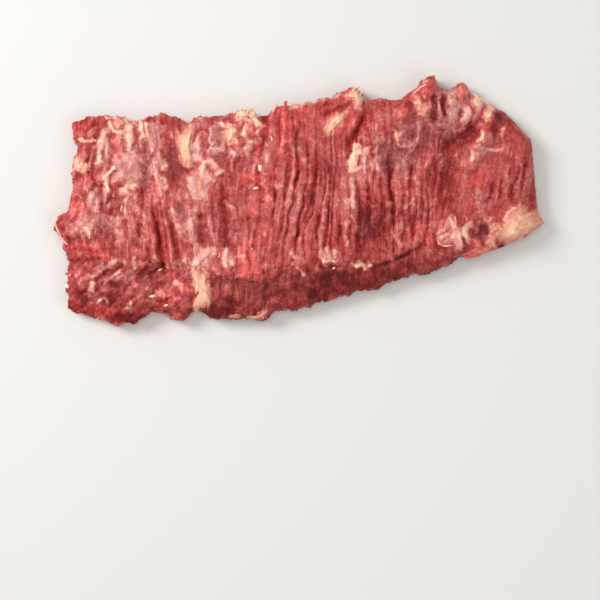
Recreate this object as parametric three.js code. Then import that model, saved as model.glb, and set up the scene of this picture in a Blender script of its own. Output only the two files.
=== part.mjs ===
import * as THREE from 'three';

// A beef inside skirt: one thin slab of raw meat that lies flat on its underside.
// Millimetres, +X along the slab, +Y towards its back edge, +Z up.
// The slab is a grid of grain lines, which run from the front edge to the back edge,
// and a closed wall joins the rim of the grid to the flat underside.

// Driving sizes
const LENGTH = 256;
const WIDTH = 130;
const RIM_HEIGHT = 7.4;
const BODY_HEIGHT = 13.8;
const RIM_ROUNDING = 13;
const BAND_DROP = 2.0;
const WALL_TUCK = 1.5;
const END_REACH = 14;

// Grid
const RIDGES = 44;
const COLUMNS_PER_RIDGE = 4;
const ROWS = 25;

// The four edges as the slab lies, in mm from the middle of its outline
const BACK_EDGE = [
  [-119, 41], [-112, 43.2], [-103, 44.5], [-93, 44.2], [-86, 42.4], [-78.5, 43.9], [-71, 45.8],
  [-64, 43.9], [-58.5, 40.8], [-53.5, 43.9], [-43, 44.7], [-34, 45.8], [-27.5, 47.6], [-21, 45.2],
  [-16.5, 45.2], [-12.5, 49.7], [-4.5, 49.9], [12, 53.6], [23.5, 57.7], [29.5, 59.8], [33.5, 56.2],
  [36, 53.6], [44, 53], [53.5, 54.1], [59.5, 58.2], [66, 64], [70.5, 65], [73.5, 59.8], [79, 58.2],
  [83.5, 61.6], [87, 60.8], [92, 55.1], [100.5, 49.9], [108, 46.3], [113, 41.1], [122, 32],
];
const FRONT_EDGE = [
  [-122, -56], [-114, -59.3], [-107.5, -60.6], [-98, -64.7], [-91, -65], [-83.5, -62.9],
  [-79.5, -59.5], [-69, -59.8], [-63, -62.9], [-54.5, -58.2], [-43, -61.9], [-25.5, -61.9],
  [-17, -62.4], [-12, -58.2], [3, -56.4], [9, -53.3], [24.5, -49.9], [31, -46.8], [41, -45.8],
  [53.5, -40.6], [70.5, -37.2], [78, -33.5], [86, -29.6], [101.5, -26], [111, -22.4],
  [121, -17.7], [128, -11.5],
];
const LEFT_EDGE = [
  [-122, -56], [-121.5, -50], [-122, -41.5], [-121, -32], [-123.5, -22.5], [-128, -13],
  [-126, -8.8], [-122, -5], [-119, 5], [-118.5, 18.5], [-116, 28], [-118, 32], [-119, 41],
];
const RIGHT_EDGE = [[128, -11.5], [125.5, -6], [124.5, 4], [123, 20], [122, 32]];

// How far each grain line leans, as a share of the length between its two ends: [share along, lean]
const GRAIN_LEAN = [
  [0, 0], [0.1, -0.02], [0.22, -0.07], [0.33, -0.02], [0.42, 0.03], [0.5, 0.045],
  [0.58, 0.01], [0.68, 0.0], [0.78, 0.06], [0.88, 0.09], [1, 0],
];

// How far the upper half of each grain line swings to the right: [share along, mm]
const GRAIN_BOW = [[0, 0], [0.36, 0], [0.42, 2], [0.48, 3.8], [0.52, 3.8], [0.58, 1], [0.64, 0], [1, 0]];

// Where the ridged sheet ends above the smoother front band: [share along, share of the width]
const STEP_LINE = [
  [0, 0.3], [0.1, 0.29], [0.2, 0.26], [0.35, 0.2], [0.55, 0.17], [0.7, 0.12],
  [0.76, 0.16], [0.84, 0.05], [1, 0],
];

// Widths of the grain ridges before they are shared out: [share along, mm]
const RIDGE_WIDTH = [[0, 5], [0.15, 6.4], [0.3, 5.6], [0.5, 4.4], [0.7, 4.6], [0.85, 5.6], [1, 5.6]];

// Where the meat is ridged: centre, half sizes, turn in degrees, strength
const RIDGED = [
  { name: 'middle', at: [6.9, 2.6], half: [25, 39], turn: -8, strength: 1.0 },
  { name: 'right of middle', at: [51.6, -5.2], half: [20.8, 27], turn: 0, strength: 0.9 },
  { name: 'dark bundle', at: [26.7, -7.8], half: [10.4, 26], turn: 0, strength: 0.85 },
  { name: 'left of middle', at: [-33.1, -7.8], half: [13.5, 21.8], turn: 0, strength: 0.55 },
  { name: 'deep grooves', at: [-69.5, -18.2], half: [10.4, 20.8], turn: 8, strength: 0.8 },
  { name: 'beside the grooves', at: [-56.6, -10.4], half: [10.4, 18.2], turn: 5, strength: 0.4 },
  { name: 'under the fold', at: [-7.2, 26], half: [11.4, 20.8], turn: -10, strength: 0.7 },
];

// Raised fat, flaps and folds: centre, half sizes, turn in degrees, height
const MOUNDS = [
  { name: 'fat flap', at: [114, -14], half: [16, 9], turn: 28, height: 2.6 },
  { name: 'star of fat', at: [79, -17], half: [9, 9], turn: 0, height: 2.4 },
  { name: 'front flap', at: [63, -18], half: [7, 7], turn: 0, height: 1.6 },
  { name: 'folded tip', at: [31, 52], half: [7, 9], turn: 20, height: 2.4 },
  { name: 'tilted fat', at: [19.5, 40], half: [7.5, 5], turn: 45, height: 2.0 },
  { name: 'rosette', at: [-25, 35], half: [9, 11], turn: 0, height: 2.6 },
  { name: 'fat strip', at: [-59, 26], half: [5.5, 12], turn: -8, height: 2.2 },
  { name: 'silverskin oval', at: [-88, 16], half: [10, 9.5], turn: 0, height: 1.6 },
  { name: 'silver slip', at: [-101, 26], half: [4.5, 9], turn: 8, height: 1.6 },
  { name: 'back corner fold', at: [72, 50], half: [10, 12], turn: -20, height: 2.0 },
  { name: 'back corner fat', at: [97, 44], half: [9, 5.5], turn: -28, height: 3.0 },
  { name: 'bright ridge', at: [94, 28], half: [5, 17], turn: -26, height: 2.2 },
  { name: 'front fat seam', at: [-52, -46], half: [6, 13], turn: 0, height: 1.6 },
  { name: 'left swell', at: [-104, -30], half: [14, 20], turn: 10, height: 1.4 },
];

// Dark clefts between bundles: the line each follows, half width, depth
const CLEFTS = [
  { name: 'long cleft', line: [[97, 42], [84, 35], [76, 28], [74, 14], [76, 0]], half: 5, depth: 2.2 },
  { name: 'rosette cleft', line: [[-17, 37], [-20, 31], [-23, 25]], half: 2.8, depth: 2.8 },
  { name: 'tip cleft', line: [[35, 44], [31, 37], [27, 31]], half: 2.8, depth: 2.4 },
  { name: 'bare hollow', line: [[-67, 24], [-66, 12]], half: 5, depth: 2.0 },
  { name: 'left groove', line: [[-75, -5], [-70, -36]], half: 2.8, depth: 2.2 },
  { name: 'second groove', line: [[-68, -5], [-63, -30]], half: 2.8, depth: 1.8 },
  { name: 'dark bundle', line: [[33, 2], [36, -20]], half: 5, depth: 1.5 },
];

function clamp01(t) {
  return Math.min(Math.max(t, 0), 1);
}

function ease(low, high, t) {
  const s = clamp01((t - low) / (high - low));
  return s * s * (3 - 2 * s);
}

// A smooth curve through points whose first values rise: a cubic with the slopes of the neighbours
function through(points, t) {
  const last = points.length - 1;
  let k = 0;
  while (k < last - 1 && t > points[k + 1][0]) k += 1;
  const [x0, y0] = points[k];
  const [x1, y1] = points[k + 1];
  const before = points[Math.max(k - 1, 0)];
  const after = points[Math.min(k + 2, last)];
  const step = x1 - x0;
  const slope0 = (y1 - before[1]) / (x1 - before[0]) * step;
  const slope1 = (after[1] - y0) / (after[0] - x0) * step;
  const s = clamp01((t - x0) / step);
  const s2 = s * s;
  const s3 = s2 * s;
  return (2 * s3 - 3 * s2 + 1) * y0 + (s3 - 2 * s2 + s) * slope0
    + (3 * s2 - 2 * s3) * y1 + (s3 - s2) * slope1;
}

// The edges as curves of a share from 0 to 1, left to right or front to back
function edgeAlongX(points, share) {
  const x = THREE.MathUtils.lerp(points[0][0], points.at(-1)[0], clamp01(share));
  return [x, through(points, x)];
}

function edgeAlongY(points, share) {
  const y = THREE.MathUtils.lerp(points[0][1], points.at(-1)[1], clamp01(share));
  const turned = points.map(([px, py]) => [py, px]);
  return [through(turned, y), y];
}

// How much of an end edge's own shape is left at a distance from it: all at the edge, little past END_REACH
function endFade(share) {
  return Math.exp(-share * LENGTH / END_REACH);
}

// A point of the slab seen from above: the grain lines run straight from the front edge to the back edge,
// with their two ends moved apart by the lean and their upper half swung aside by the bow,
// and near each end they take up the shape of that end's edge
function planPoint(u, v) {
  const lean = through(GRAIN_LEAN, u) / 2;
  const front = edgeAlongX(FRONT_EDGE, u - lean);
  const back = edgeAlongX(BACK_EDGE, u + lean);
  const left = edgeAlongY(LEFT_EDGE, v);
  const right = edgeAlongY(RIGHT_EDGE, v);
  const blend = THREE.MathUtils.lerp;
  const [x, y] = [0, 1].map((axis) => {
    const leftChord = blend(FRONT_EDGE[0][axis], BACK_EDGE[0][axis], v);
    const rightChord = blend(FRONT_EDGE.at(-1)[axis], BACK_EDGE.at(-1)[axis], v);
    return blend(front[axis], back[axis], v) + endFade(u) * (left[axis] - leftChord)
      + endFade(1 - u) * (right[axis] - rightChord);
  });
  return [x + through(GRAIN_BOW, u) * Math.sin(Math.PI * v ** 1.8), y];
}

// Shares along the slab at which each ridge starts: uneven widths, added up and scaled to 1
function ridgeStarts() {
  const starts = [0];
  for (let k = 0; k < RIDGES; k += 1) {
    const uneven = 1 + 0.24 * Math.sin(2.4 * k) + 0.16 * Math.sin(5.1 * k + 1);
    starts.push(starts[k] + through(RIDGE_WIDTH, k / RIDGES) * uneven);
  }
  return starts.map((s) => s / starts[RIDGES]);
}

// Distance from the middle of a turned ellipse, where 1 is its edge
function ellipseReach(shape, x, y) {
  const turn = THREE.MathUtils.degToRad(shape.turn);
  const dx = x - shape.at[0];
  const dy = y - shape.at[1];
  const along = (dx * Math.cos(turn) + dy * Math.sin(turn)) / shape.half[0];
  const over = (dy * Math.cos(turn) - dx * Math.sin(turn)) / shape.half[1];
  return Math.hypot(along, over);
}

// Depth of the grooves between ridges: round crests with sharp grooves, each ridge its own height,
// full in the ridged places and faint elsewhere
function ridgeRelief(k, across, u, v, x, y) {
  const deep = 1.5 + 0.6 * Math.sin(1.7 * k + 0.5) + 0.4 * Math.sin(9 * v + 2.1 * k);
  const onSheet = ease(-0.03, 0.05, v - through(STEP_LINE, u));
  const ridged = RIDGED.map((zone) => zone.strength * (1 - ease(0.6, 1.2, ellipseReach(zone, x, y))));
  const strength = 0.25 + 0.75 * onSheet * Math.max(...ridged);
  return -deep * strength * (2 * across - 1) ** 2;
}

function moundHeight(mound, x, y) {
  return mound.height * (1 - ease(0.45, 1.25, ellipseReach(mound, x, y)));
}

function distanceToLine(line, x, y) {
  let nearest = Infinity;
  for (let k = 0; k < line.length - 1; k += 1) {
    const [ax, ay] = line[k];
    const [bx, by] = line[k + 1];
    const s = clamp01(((x - ax) * (bx - ax) + (y - ay) * (by - ay)) / ((bx - ax) ** 2 + (by - ay) ** 2));
    nearest = Math.min(nearest, Math.hypot(x - ax - s * (bx - ax), y - ay - s * (by - ay)));
  }
  return nearest;
}

function cleftDepth(cleft, x, y) {
  return cleft.depth * Math.exp(-((distanceToLine(cleft.line, x, y) / cleft.half) ** 2));
}

// Height of the upper face: a rounded rim, a slow swell, the sheet above the front band,
// the grain ridges, and the raised and sunken places
function topHeight(u, v, k, across) {
  const [x, y] = planPoint(u, v);
  const fromEnds = clamp01(Math.min(u, 1 - u) * LENGTH / RIM_ROUNDING);
  const fromSides = clamp01(Math.min(v, 1 - v) * WIDTH / RIM_ROUNDING);
  const rounding = (1 - (1 - fromEnds) ** 2) * (1 - (1 - fromSides) ** 2);
  const swell = 0.9 * Math.sin(x / 31 + 0.6) * Math.cos(y / 27) + 0.5 * Math.sin(x / 13 - y / 19);
  const onSheet = ease(-0.035, 0.03, v - through(STEP_LINE, u));
  const sheet = (onSheet - 1) * BAND_DROP * ease(0, 0.1, v);
  const raised = MOUNDS.reduce((sum, mound) => sum + moundHeight(mound, x, y), 0);
  const sunken = CLEFTS.reduce((sum, cleft) => sum + cleftDepth(cleft, x, y), 0);
  return RIM_HEIGHT + (BODY_HEIGHT - RIM_HEIGHT) * rounding + swell * rounding
    + sheet + ridgeRelief(k, across, u, v, x, y) * (0.35 + 0.65 * rounding) + raised - sunken;
}

// The upper face's grid: columns in step with the ridges, so that each groove has a column
function topGrid() {
  const starts = ridgeStarts();
  const inset = WALL_TUCK / LENGTH;
  const sideInset = WALL_TUCK / WIDTH;
  const columns = RIDGES * COLUMNS_PER_RIDGE;
  const grid = [];
  for (let i = 0; i <= columns; i += 1) {
    const k = Math.min(Math.floor(i / COLUMNS_PER_RIDGE), RIDGES - 1);
    const across = i / COLUMNS_PER_RIDGE - k;
    const share = THREE.MathUtils.lerp(starts[k], starts[k + 1], across);
    const u = THREE.MathUtils.lerp(inset, 1 - inset, share);
    for (let j = 0; j <= ROWS; j += 1) {
      const v = THREE.MathUtils.lerp(sideInset, 1 - sideInset, j / ROWS);
      const [x, y] = planPoint(u, v);
      grid.push({ u, v, x, y, z: topHeight(u, v, k, across) });
    }
  }
  return { grid, columns };
}

// Grid places of the rim, once round against the clock
function rimPlaces(columns) {
  const places = [];
  for (let i = 0; i < columns; i += 1) places.push([i, 0]);
  for (let j = 0; j < ROWS; j += 1) places.push([columns, j]);
  for (let i = columns; i > 0; i -= 1) places.push([i, ROWS]);
  for (let j = ROWS; j > 0; j -= 1) places.push([0, j]);
  return places;
}

function slabGeometry() {
  const { grid, columns } = topGrid();
  const at = (i, j) => i * (ROWS + 1) + j;
  const positions = [];
  const index = [];
  grid.forEach(({ x, y, z }) => positions.push(x, y, z));
  for (let i = 0; i < columns; i += 1) {
    for (let j = 0; j < ROWS; j += 1) {
      index.push(at(i, j), at(i + 1, j), at(i + 1, j + 1));
      index.push(at(i, j), at(i + 1, j + 1), at(i, j + 1));
    }
  }

  // The wall bulges out to the true outline a little below half height, then tucks under
  const rim = rimPlaces(columns);
  const upper = rim.map(([i, j]) => at(i, j));
  const bulge = [];
  const foot = [];
  const footRing = [];
  const outermost = (n, count, value) => (n === 0 ? 0 : n === count ? 1 : value);
  rim.forEach(([i, j]) => {
    const place = grid[at(i, j)];
    const u = outermost(i, columns, place.u);
    const v = outermost(j, ROWS, place.v);
    const [x, y] = planPoint(u, v);
    bulge.push(positions.length / 3);
    positions.push(x, y, place.z * 0.45);
  });
  rim.forEach(([i, j]) => {
    const { x, y } = grid[at(i, j)];
    foot.push(positions.length / 3);
    footRing.push(new THREE.Vector2(x, y));
    positions.push(x, y, 0);
  });
  for (let n = 0; n < rim.length; n += 1) {
    const next = (n + 1) % rim.length;
    index.push(foot[n], foot[next], bulge[next], foot[n], bulge[next], bulge[n]);
    index.push(bulge[n], bulge[next], upper[next], bulge[n], upper[next], upper[n]);
  }
  THREE.ShapeUtils.triangulateShape(footRing, []).forEach(([a, b, c]) => {
    index.push(foot[a], foot[c], foot[b]);
  });

  const geometry = new THREE.BufferGeometry();
  geometry.setAttribute('position', new THREE.Float32BufferAttribute(positions, 3));
  geometry.setIndex(index);
  return geometry;
}

// Centre the outline over the origin, with the underside at zero
function centred(geometry) {
  geometry.computeBoundingBox();
  const { min, max } = geometry.boundingBox;
  geometry.translate(-(min.x + max.x) / 2, -(min.y + max.y) / 2, -min.z);
  geometry.computeVertexNormals();
  return geometry;
}

const rawMeat = new THREE.MeshStandardMaterial({ color: '#a8504a', roughness: 0.42, metalness: 0 });

const steak = new THREE.Mesh(centred(slabGeometry()), rawMeat);
steak.name = 'skirt_steak';

const group = new THREE.Group();
group.add(steak);
export default group;
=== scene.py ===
# %% [markdown]
# Beef inside skirt.
# The real thing is a thin slab of raw muscle. Its bundles run across the slab, so the upper face is
# a row of soft ridges with dark grooves, and scraps of fat and pearly membrane lie on it.
# It could be sculpted by hand or displaced by a painted map. Here every surface is worked out
# with numpy instead, because a formula can be read, changed and rerun.

# %% Load the frame
import math
import bpy
import numpy as np
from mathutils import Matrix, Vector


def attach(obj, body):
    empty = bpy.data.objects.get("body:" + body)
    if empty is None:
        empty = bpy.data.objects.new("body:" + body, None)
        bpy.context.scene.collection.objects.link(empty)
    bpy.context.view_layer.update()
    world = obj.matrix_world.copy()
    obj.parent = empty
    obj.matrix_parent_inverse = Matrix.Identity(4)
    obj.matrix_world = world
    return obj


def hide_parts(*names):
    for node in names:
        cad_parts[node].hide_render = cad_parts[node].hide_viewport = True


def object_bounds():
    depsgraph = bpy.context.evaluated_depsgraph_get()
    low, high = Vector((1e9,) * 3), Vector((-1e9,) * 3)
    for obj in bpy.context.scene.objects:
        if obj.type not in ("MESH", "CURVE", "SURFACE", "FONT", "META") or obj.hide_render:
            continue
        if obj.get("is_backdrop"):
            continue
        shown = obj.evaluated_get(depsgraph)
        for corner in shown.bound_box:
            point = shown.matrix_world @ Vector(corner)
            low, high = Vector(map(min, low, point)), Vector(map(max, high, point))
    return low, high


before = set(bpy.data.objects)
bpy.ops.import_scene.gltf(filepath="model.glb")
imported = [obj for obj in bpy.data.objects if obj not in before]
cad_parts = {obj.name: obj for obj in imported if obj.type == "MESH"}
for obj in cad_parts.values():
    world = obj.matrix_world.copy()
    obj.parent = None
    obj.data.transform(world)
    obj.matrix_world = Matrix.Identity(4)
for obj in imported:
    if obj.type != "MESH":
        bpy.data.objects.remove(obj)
cad_low, cad_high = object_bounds()
MM = 0.001
print("nodes:", len(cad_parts), "CAD box in mm:", [round(c / MM, 1) for c in cad_high - cad_low])

# %% [markdown]
# The slab seen from above.
# The outline is four edges, each a smooth curve through points in millimetres, as they lie on the
# real piece. Grain lines run from the front edge to the back edge, so a point of the slab is given by
# two shares: u along the slab and v across it. Shaping everything over u and v keeps ridges,
# grooves and streaks running with the grain, which a plain square grid can't do.

# %% Driving sizes and edges, in mm
LENGTH = 256
WIDTH = 130
RIM_HEIGHT = 7.4
BODY_HEIGHT = 13.8
RIM_ROUNDING = 13
BAND_DROP = 2.0
WALL_TUCK = 1.5
END_REACH = 14
RIDGES = 44

BACK_EDGE = [
    (-119, 41), (-112, 43.2), (-103, 44.5), (-93, 44.2), (-86, 42.4), (-78.5, 43.9), (-71, 45.8),
    (-64, 43.9), (-58.5, 40.8), (-53.5, 43.9), (-43, 44.7), (-34, 45.8), (-27.5, 47.6), (-21, 45.2),
    (-16.5, 45.2), (-12.5, 49.7), (-4.5, 49.9), (12, 53.6), (23.5, 57.7), (29.5, 59.8), (33.5, 56.2),
    (36, 53.6), (44, 53), (53.5, 54.1), (59.5, 58.2), (66, 64), (70.5, 65), (73.5, 59.8), (79, 58.2),
    (83.5, 61.6), (87, 60.8), (92, 55.1), (100.5, 49.9), (108, 46.3), (113, 41.1), (122, 32),
]
FRONT_EDGE = [
    (-122, -56), (-114, -59.3), (-107.5, -60.6), (-98, -64.7), (-91, -65), (-83.5, -62.9),
    (-79.5, -59.5), (-69, -59.8), (-63, -62.9), (-54.5, -58.2), (-43, -61.9), (-25.5, -61.9),
    (-17, -62.4), (-12, -58.2), (3, -56.4), (9, -53.3), (24.5, -49.9), (31, -46.8), (41, -45.8),
    (53.5, -40.6), (70.5, -37.2), (78, -33.5), (86, -29.6), (101.5, -26), (111, -22.4),
    (121, -17.7), (128, -11.5),
]
LEFT_EDGE = [
    (-122, -56), (-121.5, -50), (-122, -41.5), (-121, -32), (-123.5, -22.5), (-128, -13),
    (-126, -8.8), (-122, -5), (-119, 5), (-118.5, 18.5), (-116, 28), (-118, 32), (-119, 41),
]
RIGHT_EDGE = [(128, -11.5), (125.5, -6), (124.5, 4), (123, 20), (122, 32)]
GRAIN_LEAN = [
    (0, 0), (0.1, -0.02), (0.22, -0.07), (0.33, -0.02), (0.42, 0.03), (0.5, 0.045),
    (0.58, 0.01), (0.68, 0.0), (0.78, 0.06), (0.88, 0.09), (1, 0),
]
STEP_LINE = [
    (0, 0.3), (0.1, 0.29), (0.2, 0.26), (0.35, 0.2), (0.55, 0.17), (0.7, 0.12),
    (0.76, 0.16), (0.84, 0.05), (1, 0),
]
GRAIN_BOW = [(0, 0), (0.36, 0), (0.42, 2), (0.48, 3.8), (0.52, 3.8), (0.58, 1), (0.64, 0), (1, 0)]
RIDGE_WIDTH = [(0, 5), (0.15, 6.4), (0.3, 5.6), (0.5, 4.4), (0.7, 4.6), (0.85, 5.6), (1, 5.6)]

# %% Smooth curves, soft steps and the plan of the slab
def ease(low, high, t):
    """A soft step from 0 at low to 1 at high: s squared times (3 - 2 s), s the share of the way."""
    s = np.clip((t - low) / (high - low), 0, 1)
    return s * s * (3 - 2 * s)


def through(points, t):
    """A smooth curve through points with rising first values. Between two points it is the cubic
    whose slope at each point is that of the line joining the points on either side."""
    x, y = np.array(points, float).T
    slope = np.empty(len(x))
    slope[1:-1] = (y[2:] - y[:-2]) / (x[2:] - x[:-2])
    slope[0] = (y[1] - y[0]) / (x[1] - x[0])
    slope[-1] = (y[-1] - y[-2]) / (x[-1] - x[-2])
    t = np.clip(t, x[0], x[-1])
    k = np.clip(np.searchsorted(x, t, side="right") - 1, 0, len(x) - 2)
    step = x[k + 1] - x[k]
    s = (t - x[k]) / step
    start = (2 * s**3 - 3 * s**2 + 1) * y[k] + (s**3 - 2 * s**2 + s) * slope[k] * step
    return start + (3 * s**2 - 2 * s**3) * y[k + 1] + (s**3 - s**2) * slope[k + 1] * step


def plan(u, v):
    """The x and y of a point in mm. A grain line is the straight line from the front edge to the
    back edge, its ends moved apart by the lean and its upper half swung aside by the bow. Near each
    end of the slab the line takes up that end's own shape, which fades with distance as
    exp(-distance / END_REACH)."""
    lean = through(GRAIN_LEAN, u) / 2
    front_x = FRONT_EDGE[0][0] + (FRONT_EDGE[-1][0] - FRONT_EDGE[0][0]) * np.clip(u - lean, 0, 1)
    back_x = BACK_EDGE[0][0] + (BACK_EDGE[-1][0] - BACK_EDGE[0][0]) * np.clip(u + lean, 0, 1)
    front_y = through(FRONT_EDGE, front_x)
    back_y = through(BACK_EDGE, back_x)
    bow = through(GRAIN_BOW, u) * np.sin(math.pi * np.clip(v, 0, 1) ** 1.8)
    past_ends = np.minimum(u, 0) + np.maximum(u - 1, 0)
    x = front_x + (back_x - front_x) * v + bow + LENGTH * past_ends
    y = front_y + (back_y - front_y) * v
    for edge, share in ((LEFT_EDGE, np.maximum(u, 0)), (RIGHT_EDGE, np.maximum(1 - u, 0))):
        (x0, y0), (x1, y1) = edge[0], edge[-1]
        edge_y = y0 + (y1 - y0) * v
        edge_x = through([(b, a) for a, b in edge], edge_y)
        x = x + np.exp(-share * LENGTH / END_REACH) * (edge_x - x0 - (x1 - x0) * v)
    return x, y


def rim_places(columns, rows):
    """Column and row numbers of a grid's rim, once round against the clock, each place once."""
    along, up = np.arange(columns), np.arange(rows)
    i = np.concatenate([along, 0 * up + columns, columns - along, 0 * up])
    j = np.concatenate([0 * along, up, 0 * along + rows, rows - up])
    return i, j


PIXEL = 0.52
SLAB_MIDDLE = (298.75, 200)


def from_photo(points):
    """Places given in pixels of the photograph as mm on the slab, whose middle is at SLAB_MIDDLE and
    whose y runs upwards: x = PIXEL times (px - middle), y = PIXEL times (middle - py)."""
    p = np.array(points, float)
    return np.stack([PIXEL * (p[:, 0] - SLAB_MIDDLE[0]), PIXEL * (SLAB_MIDDLE[1] - p[:, 1])], -1)


RIM_STEPS = 400
rim_points = np.stack(plan(*(n / RIM_STEPS for n in rim_places(RIM_STEPS, RIM_STEPS))), -1)
rim_low, rim_high = rim_points.min(0), rim_points.max(0)
cad_middle = (cad_low + cad_high) / 2 / MM
SHIFT = np.array([*(np.array(cad_middle[:2]) - (rim_low + rim_high) / 2), 0])
print("outline in mm:", (rim_high - rim_low).round(1), "moved by:", SHIFT.round(2))

# %% [markdown]
# Unevenness.
# Meat is uneven at every scale, but it has to come out the same on each run. So the wobble is
# gradient noise: each point of a lattice has a fixed pseudo-random slope, and the slopes are blended
# smoothly in between. Stretching the lattice along the grain turns the same noise into fibres.

# %% Gradient noise on whole arrays
def lattice(i, j, seed):
    """A fixed angle for each lattice point: the fraction of a large multiple of a sine, in turns."""
    h = np.sin(i * 127.1 + j * 311.7 + seed * 74.7) * 43758.5453
    return 2 * math.pi * (h - np.floor(h))


def noise(a, b, seed):
    """Noise from about -1 to 1: the slopes of the four lattice points around, softly blended."""
    i, j = np.floor(a), np.floor(b)
    fa, fb = a - i, b - j
    weight_a, weight_b = (f**3 * (f * (6 * f - 15) + 10) for f in (fa, fb))
    total = 0
    for di, dj in ((0, 0), (1, 0), (0, 1), (1, 1)):
        angle = lattice(i + di, j + dj, seed)
        share = (weight_a if di else 1 - weight_a) * (weight_b if dj else 1 - weight_b)
        total = total + share * (np.cos(angle) * (fa - di) + np.sin(angle) * (fb - dj))
    return 1.6 * total


def layered(a, b, seed, layers=3):
    """Noise added to itself at twice the detail and half the height, a few times over."""
    total = 0
    for n in range(layers):
        total = total + noise(a * 2**n + 7.3 * n, b * 2**n - 3.1 * n, seed + n) / 2**n
    return total / 1.5


def puffy(a, b, seed):
    """Round humps between sharp valleys: the size of noise without its sign, in two layers."""
    return np.abs(noise(a, b, seed)) + 0.5 * np.abs(noise(2 * a + 5.3, 2 * b - 2.1, seed + 1))


def cells(a, b, seed):
    """Rounded lumps with creases between them. One point is drawn in each square of a lattice, and a
    lump is all that lies nearest to one point. The height is 1 in its middle and 0 on the crease,
    from the gap between the two nearest distances, and each lump has a tone from -1 to 1."""
    i, j = np.floor(a), np.floor(b)
    nearest, second = np.full(np.shape(a), 9.0), np.full(np.shape(a), 9.0)
    tone = np.zeros(np.shape(a))
    for di in (-1, 0, 1):
        for dj in (-1, 0, 1):
            turn = lattice(i + di, j + dj, seed)
            point_a, point_b = i + di + 0.5 + 0.45 * np.cos(turn), j + dj + 0.5 + 0.45 * np.sin(turn)
            away = np.hypot(point_a - a, point_b - b)
            closer = away < nearest
            second = np.where(closer, nearest, np.minimum(second, away))
            tone = np.where(closer, np.cos(2.3 * turn + 1), tone)
            nearest = np.where(closer, away, nearest)
    return ease(0, 0.55, second - nearest), tone * ease(0, 0.25, second - nearest)


def ellipse_reach(x, y, centre_x, centre_y, half_x, half_y, turn):
    """Distance from the middle of a turned ellipse, where 1 is its edge."""
    c, s = math.cos(math.radians(turn)), math.sin(math.radians(turn))
    along = ((x - centre_x) * c + (y - centre_y) * s) / half_x
    over = ((y - centre_y) * c - (x - centre_x) * s) / half_y
    return np.hypot(along, over)
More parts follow.
